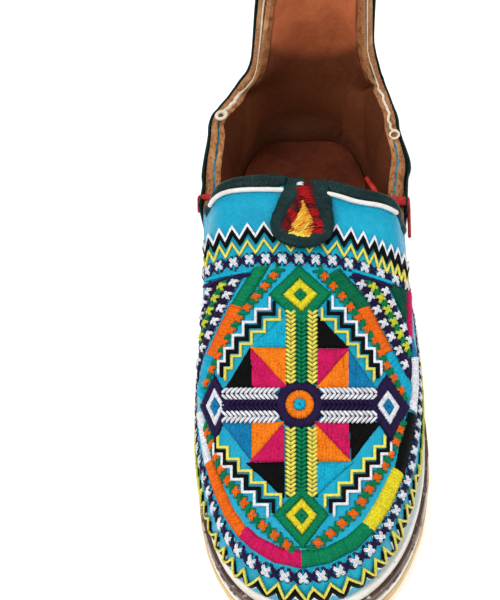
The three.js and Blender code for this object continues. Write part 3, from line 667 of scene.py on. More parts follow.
def tabMasks():  # the strip and the sunk cut beside it over the lining; that mask also paints shade into the cut
    back, side = sideRun - nearRun(innerRun), sideOf(innerRun)
    edge = np.zeros_like(innerZ)
    marks = np.linspace(tabRows[-1][0], sideRows[0][0], tabStrip["marks"])
    for way in (1, -1):
        edge = np.where(side == way, np.interp(innerZ, collarAt(marks, way)[::-1], marks[::-1]), edge)
    inside = np.minimum(edge - back, toplineHeight(innerRun) - innerZ)
    strip = (1 - smooth(inside, *tabStrip["width"])) * smooth(innerZ, *tabStrip["low"])
    slitAndShade = smooth(inside, *tabStrip["width"]) * (1 - smooth(inside, *tabStrip["slitAndShade"]))
    return strip, slitAndShade * smooth(innerZ, *tabStrip["slitLow"])


stripMask, slitMask = tabMasks()
dent = creaseDepth(innerRun, innerLevel) + tabStrip["deep"] * slitMask - tabStrip["rise"] * stripMask
innerFace = innerFace + unit(outerFace[:, -1:] - innerFace[:, :1]) * dent[..., None]

_, _, edgeUp = toplineFrame(ringRuns)
behind = smooth(nearRun(ringRuns) - cornerRun, *upper["edgeFrom"])
rim = []
for share in rimShares:
    layerSeed = next(seed for end, seed in upper["edgeLayers"] if share < end)
    rise = upper["edgeWaver"] * wobble(ringRuns, layerSeed, upper["edgeWave"])
    rounding = upper["edgeRound"] * (1 - (2 * share - 1) ** upper["edgePower"])
    groove = upper["grooveDepth"] * np.exp(-((share - upper["grooveAt"]) / upper["grooveWide"]) ** 2)
    lift = behind * (rise + rounding - groove)
    rim.append(lerp(outerFace[:, -1], innerFace[:, 0], share) + edgeUp * lift[:, None])
upperPlaces = np.concatenate([outerFace, np.stack(rim, 1), innerFace, outerFace[:, :1]], 1)
stripLow, stripHigh = upper["stripRows"]
rimFaces = [rawFaces] + [stripFaces if stripLow < share < stripHigh else rawFaces for share in rimShares]
rowMaterial = [outerFaces] * upper["outerRows"] + rimFaces + [liningFaces] * (upper["innerRows"] + 1)
# painted shade: the lining darker towards its foot and along its side walls, added to the mask of the sunk
# cut
footShade = upper["footDark"] * (1 - smooth(innerLevels, *upper["footShade"]))
sideShade = upper["sideDark"] * smooth(sideRun - nearRun(ringRuns), *upper["sideShade"])
liningFrom = upper["outerRows"] + 1 + len(rimShares)
liningMarks = {}
for key, mask in (("strip", stripMask), ("slitAndShade", slitMask + np.maximum(footShade, sideShade[:, None]))):
    liningMarks[key] = np.zeros(upperPlaces.shape[:2])
    liningMarks[key][:, liningFrom:liningFrom + upper["innerRows"] + 1] = mask
upperWall = gridPiece("upper_leather", upperPlaces, [blueLeather, liningLeather, rawLeather, blueVinyl],
                      rowMaterial, liningMarks, upper["sharp"])
# the blue strip between the leathers ends at the curled end of the cream cord
cordEnds = {1: dict(back=84.0, loop=2.1, tilt=0.9, thick=0.62, thin=0.34),
            -1: dict(back=59.0, loop=2.5, tilt=0.0, thick=0.95, thin=0.36)}
cordLook = dict(share=0.55, face=0.6, top=11.5, neck=(30.0, 35.0), lift=0.5, ringLift=1.0, ringThick=0.85,
                wave=15.0, sway=0.55, seed=3, steps=150, ringSteps=41, joinSteps=12, around=12)
ringY = {side: float(toplineFrame(sideRun - side * end["back"])[0][1]) * mm for side, end in cordEnds.items()}
for face in upperWall.data.polygons:
    if face.material_index == stripFaces and face.center.y > ringY[1 if face.center.x > 0 else -1]:
        face.material_index = rawFaces
wear(upperWall, "blue_leather", "upper")
print("upper made:", len(upperWall.data.polygons), "faces")


def collarCord(side):  # curled at its lower end, then up along the groove of the cut edge
    end, ringSteps, joinSteps = cordEnds[side], cordLook["ringSteps"], cordLook["joinSteps"]
    backs = np.linspace(end["back"] - end["loop"], cordLook["top"], cordLook["steps"])
    at, out, up = toplineFrame(sideRun - side * np.append(end["back"], backs))
    sway = cordLook["sway"] * wobble(np.append(0, backs), side + cordLook["seed"], cordLook["wave"])
    line = at - out * (cordLook["share"] * wall["quarter"] + sway)[:, None] + up * cordLook["lift"]
    ahead = unit(line[1] - line[0])
    axis = unit(up[0] - out[0] * end["tilt"] - ahead * cordLook["face"])
    middle = line[0] + up[0] * cordLook["ringLift"]
    turn = np.linspace(-np.pi / 2, 1.5 * np.pi, ringSteps)[:, None]
    radial = np.cos(turn) * ahead + np.sin(turn) * np.cross(axis, ahead)
    join = np.linspace(1, 0, joinSteps)[:, None] ** 2
    line[1:joinSteps + 1] += join * (middle + radial[-1] * end["loop"] - line[0])
    path = np.concatenate([middle + radial * end["loop"], line[2:]])
    climb = lerp(end["thin"], end["thick"], smooth(backs[1:], *cordLook["neck"]))
    thick = np.append(np.full(ringSteps, end["thick"] * cordLook["ringThick"]), climb)
    way = unit(np.gradient(path, axis=0))
    across = np.concatenate([np.broadcast_to(axis, (ringSteps, 3)), up[2:]])
    raised = np.concatenate([radial, -np.cross(up[2:], way[ringSteps:])])
    return path, across, raised, thick


labels = (("left", -1), ("right", 1))
for label, side in labels:
    path, across, raised, thick = collarCord(side)
    wear(sweepPiece("collar_cord_" + label, path, across, raised, thick, thick, creamVinyl,
                    cordLook["around"]),
         "white_piping")

# throat: teal roll and white piping
binding = dict(radius=2.9, end=cornerRun - 6, steps=240, around=20, neck=1.2, neckEnd=6.7, thin=8.2, full=9.8,
               gather=18, pucker=dict(by=0.08, seed=1.2, wave=4.5), swell=dict(by=0.03, seed=2.2, wave=21))
piping = dict(radius=0.98, cover=0.9, start=dict(left=10.6, right=9.2), end=dict(left=97.0, right=70.0),
              steps=90, around=14, swell=dict(by=0.05, seed=0.7, wave=17))
flap = dict(foldThickness=1.2, shift=-1.0, start=30.0, length=31.2, drape=0.006, steps=150, around=18,
            boxPower=0.8, ridges=(dict(by=0.05, seed=0.4, wave=9), dict(by=0.05, seed=2.4, wave=23)),
            pinch=dict(by=0.12, seed=1.4, wave=6))
# how far the top of the roll sits below its full height and the piping below the edge, by run
rollSinkAt = curveThrough([(-60, 0), (0, 0.2), (12, 1.2), (24, 2), (50, 0.8), (80, 0)])
pipingDropAt = curveThrough([(-97, 0.3), (-60, 0.6), (-10, 2.3), (10, 2.4), (24, 3.4), (48, 1.6), (72, 0.5)])


def swelling(at, by, seed, wave):
    return by * wobble(at, seed, wave)


bindingRuns = np.linspace(-binding["end"], binding["end"], binding["steps"])
_, bindingOut, bindingUp = toplineFrame(bindingRuns)
fromFlap = np.abs(bindingRuns - flap["shift"])
bindingFill = smooth(fromFlap, binding["thin"], binding["full"])
bindingRound = lerp(binding["neck"], binding["radius"], bindingFill)
rollTop = 2 * bindingRound + seam - rollSinkAt(bindingRuns) * bindingFill
rollFoot = (np.minimum(seam, piping["cover"] - pipingDropAt(bindingRuns))
            * smooth(fromFlap, binding["neckEnd"], binding["thin"]))
bindingPath = offTopline(bindingRuns, np.full(binding["steps"], -wall["vamp"] / 2), (rollTop + rollFoot) / 2)
gathered = np.exp(-(np.abs(bindingRuns) / binding["gather"]) ** 2)
uneven = 1 + gathered * swelling(bindingRuns, **binding["pucker"]) + swelling(bindingRuns, **binding["swell"])
wear(sweepPiece("throat_roll", bindingPath, bindingOut, bindingUp, bindingRound * uneven,
                (rollTop - rollFoot) / 2 * uneven, tealLeather, binding["around"]),
     "teal_leather", "throat_binding")
for label, side in labels:
    runs = side * np.linspace(piping["start"][label], piping["end"][label], piping["steps"])
    at, out, up = toplineFrame(runs)
    path = at + out * (piping["radius"] + seam) - up * pipingDropAt(runs)[:, None]
    thick = piping["radius"] * (1 + swelling(runs, **piping["swell"]))
    wear(sweepPiece("throat_piping_white_" + label, path, out, up, thick, thick, pipingVinyl,
                    piping["around"]),
         "white_piping", "throat_piping_" + label)

# flap: a padded loop that comes off the top of the roll, its tip lifted
flapSteps = [0, 3.6, 7, 14.7, 20, 23.2, 26, 28, 30, 31.2]
flapHalfAt = curveOver(flapSteps, [4.6, 4.8, 5.4, 7.9, 9.5, 9.8, 9.2, 7.9, 5.3, 0])
rimThickAt = curveOver(flapSteps, [1.2, 1.2, 1.8, 2.6, 3.2, 3.2, 3.2, 3.2, 3.2, 3.2])
flapRiseAt = curveOver(flapSteps, [0, 0, 0.4, 1.2, 1.7, 2, 2.5, 2.9, 3.3, 3.5])
rimWideAt = curveThrough([(0, 3.3), (5, 3.7), (9, 3.7), (14.7, 3.2), (20, 2.8), (26, 2.7), (31.2, 2.9)])
throatOut, throatUp = (v[0] for v in toplineFrame(np.zeros(1))[1:])
throatSlant = np.cross(throatUp, throatOut)
throatSlant = throatSlant / throatSlant[0]  # a step across the flap
foldCentre = offTopline(np.zeros(1), np.full(1, -wall["vamp"] / 2), np.full(1, binding["neck"] + seam))[0]
foldRadius = binding["neck"] + 3 * seam + flap["foldThickness"] / 2
foldEnd = math.atan2(throatOut[2], throatOut[1])
foldRun = foldRadius * (foldEnd - math.radians(flap["start"]))


def flapFrame(s, x):  # place and outward way on the flap's middle layer
    s, x = np.broadcast_arrays(np.asarray(s, float), np.asarray(x, float))
    angle = math.radians(flap["start"]) + np.minimum(s, foldRun) / foldRadius
    out = np.stack([np.zeros_like(s), np.cos(angle), np.sin(angle)], -1)
    rise = np.where(s < foldRun, 0, flapRiseAt(s))
    drop = flap["drape"] * x * x * smooth(s, 0, foldRun)
    place = (foldCentre + out * (foldRadius + rise - drop)[..., None]
             - throatUp * np.clip(s - foldRun, 0, None)[..., None])
    return place + throatSlant * (x + flap["shift"])[..., None], out


def flapSpot(s, x, h=0.0):
    place, out = flapFrame(s, x)
    return place + out * np.asarray(h)[..., None]


def flapRim():
    along = flap["length"] * np.sin(np.linspace(0, np.pi / 2, flap["steps"] // 2 + 1))
    line = np.stack([along, flapHalfAt(along)], -1)
    line = np.concatenate([line, (line[:-1] * [1, -1])[::-1]])
    way = unit(np.gradient(line, axis=0))
    count = np.arange(len(line))
    wide = rimWideAt(line[:, 0]) * (1 + sum(swelling(count, **ridge) for ridge in flap["ridges"]))
    across, lift = oval(np.linspace(0, 2 * np.pi, flap["around"] + 1), flap["boxPower"])
    s = line[:, :1] - (wide * way[:, 1])[:, None] * across
    x = line[:, 1:] + (wide * way[:, 0])[:, None] * across
    pinch = 1 + swelling(count, **flap["pinch"])
    places = flapSpot(s, x, lift * rimThickAt(line[:, :1]) / 2 * pinch[:, None])
    return gridPiece("flap_rim_padded", capped(places), [tealLeather])


rimPiece = wear(flapRim(), "teal_leather", "flap_rim")
patch = dict(steps=50, across=16, thick=0.9, start=4.2, end=2.2, under=0.75, least=0.3, sharp=50)


def flapPatch():
    along = np.linspace(patch["start"], flap["length"] - patch["end"], patch["steps"] + 1)
    half = np.clip(flapHalfAt(along) - rimWideAt(along) * patch["under"], patch["least"], None)
    x = np.linspace(-1, 1, patch["across"] + 1)[None] * half[:, None]
    s = np.broadcast_to(along[:, None], x.shape)
    faces = [flapSpot(s, x, np.full(x.shape, side * patch["thick"])) for side in (-1, 1)]
    loop = np.concatenate([faces[0], faces[1][:, ::-1], faces[0][:, :1]], 1)
    return gridPiece("flap_cloth", capped(loop), [patchCloth], sharpAngle=patch["sharp"])


wear(flapPatch(), "embroidered_patch", "flap_patch")
print("throat and flap made")

# teal band round the outside of the collar and the tab
band = dict(width=8.0, start=26.0, lift=0.5, thickness=1.1, neck={1: (23.6, 96.0), -1: (31.0, 77.0)},
            hair=0.01, around=20, boxy=4.0)


def collarBand():
    backs = collarBacks[collarBacks < cornerBack - band["start"]]
    step = wall["probe"]
    halves = []
    for side in (1, -1):
        z = collarAt(backs, side)
        turn = np.arctan(-(collarAt(backs + step, side) - z) / step)
        neck, neckHeight = band["neck"][side]
        onTab = backs < neck - band["hair"]
        tall = wall["tabHeight"] - neckHeight
        turn = np.where(np.abs(backs - neck) < band["hair"], np.pi / 2, turn)
        low = neckHeight + (z - neckHeight) * (tall - band["width"]) / tall
        inBack = np.where(onTab, backs * (neck - band["width"]) / neck, backs - band["width"] * np.sin(turn))
        inZ = np.where(onTab, low, z - band["width"] * np.cos(turn))
        edges = [wallPoint(sideRun - side * at, height) for at, height in ((backs, z), (inBack, inZ))]
        out = wallNormal(sideRun - side * (backs + inBack) / 2, (z + inZ) / 2)
        halves.append((edges[0], edges[1], out))
    top, bottom, out = (np.concatenate([a[::-1], b[1:]]) for a, b in zip(*halves))
    path = (top + bottom) / 2 + out * (band["lift"] + band["thickness"] / 2)
    return path, top - bottom, out, np.linalg.norm(top - bottom, axis=-1) / 2


bandPath, bandSide, bandOut, bandHalf = collarBand()
wear(sweepPiece("collar_strip", bandPath, bandSide, bandOut, bandHalf, band["thickness"] / 2, tealLeather,
                band["around"], band["boxy"]), "teal_leather", "collar_band")

# red thong over the collar at each throat corner; its loose end as steps inwards, towards the heel and up
thong = dict(radius=1.4, back={1: 22.0, -1: 25.0}, outside={1: 6.0, -1: 2.0}, inside=4.0, shoulder=1,
             corner=0.85, looseFrom=0.4, loose=[(0.3, 3.0, 0.3), (2.5, 9.5, 1.5), (6.0, 15.5, 3.0)],
             loop=dict(step=3.0, outside=4.0, inside=1.5), steps=48, ends=(-3, 9), endShare=0.55, least=0.95,
             swell=dict(by=0.1, wave=17), seed=2, flat=0.5, around=12, boxy=2.6)


def thongPath(side, step=0.0, outside=None, inside=None, loose=()):
    run = side * (cornerRun + thong["back"][side] + step)
    clear = thong["radius"] + 3 * seam
    thick = float(wallThickness(run, 1.0)) + 2 * seam
    corner = thong["corner"] * clear
    top = float(toplineHeight(run))

    def below(drop, out):
        return wallPoint(run, top - drop) + wallNormal(run, top - drop) * out

    outside = outside or thong["outside"][side]
    marks = [below(outside, clear), below(outside / 2, clear), below(thong["shoulder"], clear),
             offTopline(run, corner, corner), offTopline(run, -thick / 2, clear),
             offTopline(run, -thick - corner, corner)]
    if loose:  # a free end that lies back inside
        heelward = unit(wallPoint(run + side, top) - wallPoint(run - side, top))
        base, inward = below(thong["looseFrom"], -thick - clear), -wallNormal(run, top)
        marks += [base + inward * by + heelward * back + np.array([0, 0, rise]) for by, back, rise in loose]
    else:
        marks += [below(drop, -thick - clear) for drop in (thong["shoulder"], inside or thong["inside"])]
    return np.array(marks)


def splined(marks, count):  # points along a smooth curve through the marks
    at = np.append(0, np.cumsum(np.linalg.norm(np.diff(marks, axis=0), axis=1) ** 0.5))
    where = np.linspace(0, at[-1], count)
    return np.stack([curveOver(at, marks[:, k])(where) for k in range(3)], -1)


def lace(name, side, marks):
    path = splined(marks, thong["steps"])
    run = side * (cornerRun + thong["back"][side])
    height = float(toplineHeight(run))
    along = np.broadcast_to(unit(wallPoint(run + 1, height) - wallPoint(run - 1, height)), path.shape)
    up = np.cross(along, unit(np.gradient(path, axis=0)))
    count = np.arange(thong["steps"])
    ends = lerp(thong["endShare"], 1, smooth(np.minimum(count, count[::-1]), *thong["ends"]))
    swell = thong["least"] + swelling(count, seed=side + thong["seed"], **thong["swell"])
    wide = thong["radius"] * swell * ends
    return sweepPiece(name, path, along, up, wide, thong["radius"] * thong["flat"], thongLeather,
                      thong["around"], thong["boxy"])


wear(lace("thong_red_left", -1, thongPath(-1)), "red_thong", "thong_left")
wear(lace("thong_red_right", 1, thongPath(1, loose=thong["loose"])), "red_thong", "thong_right")
loop = thong["loop"]
wear(lace("thong_red_loop", 1, thongPath(1, loop["step"], loop["outside"], loop["inside"])), "red_thong")
print("band and thongs made")

# the photograph's view: angles in degrees, distance and aim in millimetres, focal length and middle in pixels
shot = dict(azimuth=0.5, elevation=50.1, roll=-2.0, distance=520.0, aim=(0.0, 0.0, 50.0), focal=1265.0,
            middle=(308.5, 299.2))


def photoCamera():
    a, e, r = (math.radians(shot[key]) for key in ("azimuth", "elevation", "roll"))
    back = Vector((math.sin(a) * math.cos(e), -math.cos(a) * math.cos(e), math.sin(e)))
    flat = Vector((math.cos(a), math.sin(a), 0))
    upright = back.cross(flat)
    right = flat * math.cos(r) + upright * math.sin(r)
    up = upright * math.cos(r) - flat * math.sin(r)
    place = Vector(shot["aim"]) + back * shot["distance"]
    x, y = ((size / 2 - middle) / shot["focal"] for size, middle in zip(photoSize, shot["middle"]))
    away = -(right * x - up * y - back).normalized()
    right = (right - away * right.dot(away)).normalized()
    return place, right, away.cross(right), away


cameraPlace, cameraRight, cameraUp, cameraBack = photoCamera()

# needlework: each stitch is a thin closed tube on the leather; a chart turns pairs of numbers into places
thread = dict(radius=0.33, pitch=0.45, sink=0.25, rest=0.6, arch=0.4, archPower=0.7, fray=0.3, points=5,
              tone=0.06, tones=(0.4, 1.25), darkShare=0.03, darkTone=0.82, taper=0.75, sharpest=0.6, sides=4,
              samples=61, middleSamples=31, seed=23)
couched = dict(radius=0.62, step=2.5)
filling = dict(pitch=1.1, longest=26.0, over=0.8, arch=0.3, stray=5.0, overlap=2.0, points=6)
chevron = dict(reach=0.85, radius=0.62, lift=0.2, arch=0.3, past=0.3, points=4)
crossed = dict(strands=3, radius=0.27, lift=0.3, ply=1.75, shorter=0.1, arch=0.3, over=0.25, points=5,
               probe=0.004)
relief = dict(bar=0.55, medallion=0.7, ground=0.05)
dyes = dict(white=(232, 234, 240), navy=(38, 26, 66), black=(9, 9, 10), orange=(240, 106, 20),
            crimson=(206, 24, 92), green=(8, 128, 84), deepGreen=(4, 82, 62), midGreen=(6, 106, 70),
            yellow=(232, 216, 44), straw=(236, 224, 96), lime=(206, 214, 60), cyan=(20, 172, 206),
            blue=(18, 122, 172), gold=(236, 172, 56), red=(172, 22, 26), maroon=(112, 20, 30),
            brightOrange=(246, 126, 24))
draw = np.random.default_rng(thread["seed"])
stitches = []  # laid so far for the next piece: places, ways, radius and dye
motifMiddle = np.array([302.0, 405.0])  # photo pixels
vampBack = 34.0  # the vamp's needlework lies in front of this
charting = dict(tries=80, inward=0.012, columns=401, tall=180.0, ribSteps=161, hair=0.001)


def photoChart(places, ways, behind):  # chart in photo pixels over a grid of places
    index = np.arange(places.shape[0] * places.shape[1]).reshape(places.shape[:2])
    quads = np.stack([index[:-1, :-1], index[1:, :-1], index[1:, 1:], index[:-1, 1:]], -1).reshape(-1, 4)
    ways = ways.reshape(-1, 3)
    tree = BVHTree.FromPolygons(places.reshape(-1, 3).tolist(), quads.tolist())

    def wayAt(faces):
        return unit(ways[quads[np.array(faces)]].mean(1))

    def spot(points):
        hits = []
        for point in np.asarray(points, float):
            for _ in range(charting["tries"]):
                x, y = (point - np.array(photoSize) / 2) / shot["focal"]
                place, _, face, _ = tree.ray_cast(cameraPlace, cameraRight * x - cameraUp * y - cameraBack)
                if place is not None and place.y < behind:
                    break
                point = lerp(point, motifMiddle, charting["inward"])
            hits.append((place, face))
        return np.array([hit[0] for hit in hits]), wayAt([hit[1] for hit in hits])

    def settle(points):  # nearest places on the grid
        hits = [tree.find_nearest(Vector(p)) for p in points]
        return np.array([hit[0] for hit in hits]), wayAt([hit[2] for hit in hits])

    return spot, settle


photoSpot, settled = photoChart(outerFace, wallNormal(ringRuns[:, None], outerZ), vampBack)
chartRuns = np.linspace(-sideRun, sideRun, charting["columns"])
chartUps = np.arange(charting["tall"])
chartZ = np.array([np.interp(chartUps, length, trace)
                   for trace, length in zip(*ribTrace(chartRuns, charting["ribSteps"]))])


def wallSpot(points):  # chart of the whole wall: run from the toe and length up from the sole
    run, up = np.asarray(points, float).T
    final = len(chartRuns) - 1
    column = np.clip((run + sideRun) / (2 * sideRun) * final, 0, final - charting["hair"])
    row = np.clip(up, 0, chartUps[-1] - charting["hair"])
    i, j = column.astype(int), row.astype(int)
    z = lerp(*(lerp(chartZ[k, j], chartZ[k, j + 1], row - j) for k in (i, i + 1)), column - i)
    return wallPoint(run, z), wallNormal(run, z)


def traced(line, t):  # points at shares of a chart line
    line = np.asarray(line, float)
    at = lengths(line)
    return np.stack([np.interp(np.asarray(t) * at[-1], at, line[:, k]) for k in range(2)], -1)


def evenShares(spot, line, pitch, ends=True):  # shares of a chart line at equal steps over the leather
    t = np.linspace(0, 1, thread["samples"])
    length = lengths(spot(traced(line, t))[0])
    count = max(2, round(length[-1] / pitch))
    at = np.linspace(0, length[-1], count + 1) if ends else (np.arange(count) + 0.5) * length[-1] / count
    return np.interp(at, length, t)


def lay(spots, dye, radius=thread["radius"], arch=0.0, lift=0.0):
    places, ways = spots
    t = np.linspace(0, 1, len(places))
    rise = lift + thread["rest"] * radius + arch * np.sin(np.pi * t) ** thread["archPower"]
    rise[[0, -1]] -= thread["sink"] + lift
    stitches.append((places + ways * rise[:, None], ways, radius, dye))


def satin(spot, lineA, lineB, dye, arch=thread["arch"], pitch=thread["pitch"], lift=0.0, fray=thread["fray"]):
    even = np.linspace(0, 1, thread["middleSamples"])
    t = evenShares(spot, (traced(lineA, even) + traced(lineB, even)) / 2, pitch)
    for a, b in zip(traced(lineA, t), traced(lineB, t)):
        a, b = a + draw.uniform(-fray, fray, 2), b + draw.uniform(-fray, fray, 2)
        lay(spot(np.linspace(a, b, thread["points"])), dye, arch=arch, lift=lift)


def longAndShort(spot, corners, dye, arch=filling["arch"]):
    # fills a block with upright threads, in chart units
    x, y = np.asarray(corners, float).T
    sides = list(zip(x, y, np.roll(x, -1), np.roll(y, -1)))
    for at in np.arange(x.min() + filling["pitch"] / 2, x.max(), filling["pitch"]):
        met = [lerp(y0, y1, (at - x0) / (x1 - x0)) for x0, y0, x1, y1 in sides if (x0 - at) * (x1 - at) < 0]
        if len(met) < 2:
            continue
        low, high = min(met) - draw.uniform(0, filling["over"]), max(met) + draw.uniform(0, filling["over"])
        parts = max(1, math.ceil((high - low) / filling["longest"]))
        breaks = np.linspace(low, high, parts + 1)
        breaks[1:-1] += draw.uniform(-filling["stray"], filling["stray"], parts - 1)
        for a, b in zip(breaks, breaks[1:]):
            start, end = a - filling["overlap"] * (a > low), b + filling["overlap"] * (b < high)
            lay(spot(np.linspace((at, start), (at, end), filling["points"])), dye, arch=arch)


def braid(spot, start, end, half, pitch, dye, reach=chevron["reach"], radius=chevron["radius"]):
    # a row of chevrons that point to the end
    start, end = np.array(start, float), np.array(end, float)
    way = unit(end - start)
    side = np.array([-way[1], way[0]])
    for k in range(round(np.linalg.norm(end - start) / pitch)):
        tip = start + way * (k + 1) * pitch
        for edge in (-1, 1):
            root = tip - way * reach * half + side * edge * half
            line = np.linspace(root, tip - side * edge * chevron["past"], chevron["points"])
            lay(spot(line), dye, radius, chevron["arch"], chevron["lift"])


def cross(frameAt, size, dye, radius, lift=0.0):
    place, way, along = frameAt
    across = np.cross(way, along)
    for turn in (1, -1):
        reach = along * size[0] / 2 + across * turn * size[1] / 2
        aside = unit(np.cross(way, reach)) * radius * crossed["ply"]
        for offset in np.arange(crossed["strands"]) - (crossed["strands"] - 1) / 2:
            t = np.linspace(-1, 1, crossed["points"])[:, None] * (1 - crossed["shorter"] * abs(offset))
            over = crossed["over"] if turn < 0 else 0
            lay(settled(place + aside * offset + t * reach), dye, radius, crossed["arch"], lift + over)


def crossRow(spot, line, pitch, size, dye, under, underSize, radius=crossed["radius"], lift=crossed["lift"]):
    # crosses along a chart line, with a lattice of another colour between them
    t = evenShares(spot, line, pitch, ends=False) if np.ndim(pitch) == 0 else pitch
    tints = [dye] if isinstance(dye, str) else dye

    def frames(shares):
        places, ways = spot(traced(line, shares))
        probe = crossed["probe"]
        ahead, behind = (spot(traced(line, np.clip(shares + by, 0, 1)))[0] for by in (probe, -probe))
        return zip(places, ways, unit(ahead - behind))

    half = (t[1] - t[0]) / 2
    gaps = np.clip(np.concatenate([[t[0] - half], (t[1:] + t[:-1]) / 2, [t[-1] + half]]), 0, 1)
    for at in frames(gaps):
        cross(at, underSize, under, radius)
    for k, at in enumerate(frames(t)):
        cross(at, size, tints[k % len(tints)], radius, lift)


def cord(spot, line, dye, radius=couched["radius"], step=couched["step"], lift=0.0):
    # one couched cord through the corners of a chart line
    line = np.asarray(line, float)
    counts = [max(2, math.ceil(length / step)) for length in np.linalg.norm(np.diff(line, axis=0), axis=1)]
    parts = [np.linspace(a, b, count + 1)[:-1] for a, b, count in zip(line, line[1:], counts)]
    lay(spot(np.concatenate(parts + [line[-1:]])), dye, radius, lift=lift)


def peakShares(line):  # shares of a line's points and of the middles between them
    at = lengths(np.asarray(line, float))
    return np.interp(np.arange(2 * len(at) - 1) / 2, np.arange(len(at)), at / at[-1])


def zigzag(spot, low, high, shares, dye, radius=couched["radius"], step=couched["step"], lift=0.0):
    corners = np.where((np.arange(len(shares)) % 2)[:, None] > 0, traced(low, shares), traced(high, shares))
    cord(spot, corners, dye, radius, step, lift)


def stairs(start, end, rises, ease=0.0):  # corners of a stepped line that begins and ends with a rise
    t = np.linspace(0, 1, rises)
    x = lerp(start[0], end[0], t + ease * t * (1 - t))
    y = np.linspace(start[1], end[1], rises + 1)
    return [(x[k], y[k + turn]) for k in range(rises) for turn in (0, 1)]


silkLook = dict(rough=0.6, shine=0.07, strand=1400, detail=2, between=(0.35, 0.65), dark=0.3, depth=0.08)


def threadSilk():
    finish = Finish("threadSilk", silkLook["rough"], silkLook["shine"])
    strand = finish.noise(silkLook["strand"], silkLook["detail"])
    # painted shade: the dye darkens in the low places between the strands
    gaps = finish.ranged(strand, *silkLook["between"], (silkLook["dark"], 0.0))
    finish.colour(finish.mix(gaps, finish.attribute("dye", "Color"), black))
    finish.bump(strand, silkLook["depth"])
    return finish.material


silk = threadSilk()


def needlePiece(name):
    sides = thread["sides"]
    verts, quads, colours, base = [], [], [], 0
    angle = np.arange(sides) * 2 * np.pi / sides + np.pi / sides
    for count in sorted({len(line[0]) for line in stitches}):
        group = [line for line in stitches if len(line[0]) == count]
        path = np.stack([line[0] for line in group])
        ways = np.stack([line[1] for line in group])
        tangent = unit(np.gradient(path, axis=1))
        leg = unit(np.diff(path, axis=1))
        leg = np.concatenate([leg, leg[:, -1:]], 1)
        widen = 1 / np.clip((tangent * leg).sum(-1), thread["sharpest"], 1)
        side = unit(np.cross(tangent, ways))
        up = np.cross(side, tangent)
        radius = np.array([line[2] for line in group])[:, None] * np.ones(count)
        radius[:, [0, -1]] *= thread["taper"]
        ring = (path[:, :, None] + side[:, :, None] * ((radius * widen)[..., None] * np.cos(angle))[..., None]
                + up[:, :, None] * (radius[..., None] * np.sin(angle))[..., None])
        index = base + np.arange(ring[..., 0].size).reshape(ring.shape[:3])
        turned = np.roll(index, -1, axis=2)
        tube = np.stack([index[:, :-1], index[:, 1:], turned[:, 1:], turned[:, :-1]], -1).reshape(-1, 4)
        quads += [tube, index[:, 0], index[:, -1, ::-1]]
        tone = 1 + draw.normal(0, thread["tone"], len(group))
        tone[draw.random(len(group)) < thread["darkShare"]] *= thread["darkTone"]
        shade = np.array([linear(*dyes[line[3]]) for line in group])
        shade[:, :3] *= np.clip(tone, *thread["tones"])[:, None]
        colours.append(np.repeat(shade, count * sides, axis=0))
        verts.append(ring.reshape(-1, 3))
        base += ring[..., 0].size
    mesh = bpy.data.meshes.new(name)
    mesh.from_pydata((np.concatenate(verts) * mm).tolist(), [], np.concatenate(quads).tolist())
    dyed = mesh.attributes.new("dye", "FLOAT_COLOR", "POINT")
    dyed.data.foreach_set("color", np.concatenate(colours).ravel())
    mesh.shade_smooth()
    mesh.materials.append(silk)
    piece = bpy.data.objects.new(name, mesh)
    bpy.context.scene.collection.objects.link(piece)
    print(name, len(stitches), "stitches", 2 * len(mesh.polygons), "triangles")
    stitches.clear()
    return wear(piece, "embroidered_patch")


# rows under the throat, in photo pixels; a zigzag is its dye, drop, radius and lift
throatRows = dict(
    peaks=[(204.5, 240.5), (210, 234.9), (220.3, 230.3), (232.6, 227.6), (247.8, 225.2), (264, 223.8),
           (282, 222.8), (300, 222.6), (318.5, 223.8), (336.7, 226.4), (350.8, 229.4), (363, 233.3),
           (374, 237.8), (381.6, 242), (390, 246), (396.6, 249.7), (402.6, 254.8), (407, 260)],
    zigzags=(("black", 5.4, 0.86, 0), ("white", 0, 0.62, 0.3), ("straw", 16.5, 0.6, 0.2)), swing=12.5,
    line=[(204, 273), (210, 270), (220, 266), (233, 263), (249, 260), (266, 259), (300, 259), (334, 261),
          (349, 264), (364, 268), (384, 275), (400, 282), (410, 288)],
    crosses=dict(pitch=6.4, size=(4.4, 5.0), dye="white", under="navy", underSize=(5.6, 6.4)),
    cords=[("navy", [(204, 287), (225, 280), (252, 275)]), ("cyan", [(205, 281), (225, 276), (252, 271)]),
           ("navy", [(352, 275), (372, 281), (392, 288)]), ("cyan", [(352, 271), (372, 277), (392, 284)])],
    cordRadius=0.8)


def dropped(line, by):
    return [(x, y + by) for x, y in line]


for dye, by, radius, lift in throatRows["zigzags"]:
    top = dropped(throatRows["peaks"], by)
    zigzag(photoSpot, dropped(top, throatRows["swing"]), top, peakShares(top), dye, radius, lift=lift)
for dye, line in throatRows["cords"]:
    cord(photoSpot, line, dye, throatRows["cordRadius"])
crossRow(photoSpot, throatRows["line"], **throatRows["crosses"])
needlePiece("stitched_throat_rows")

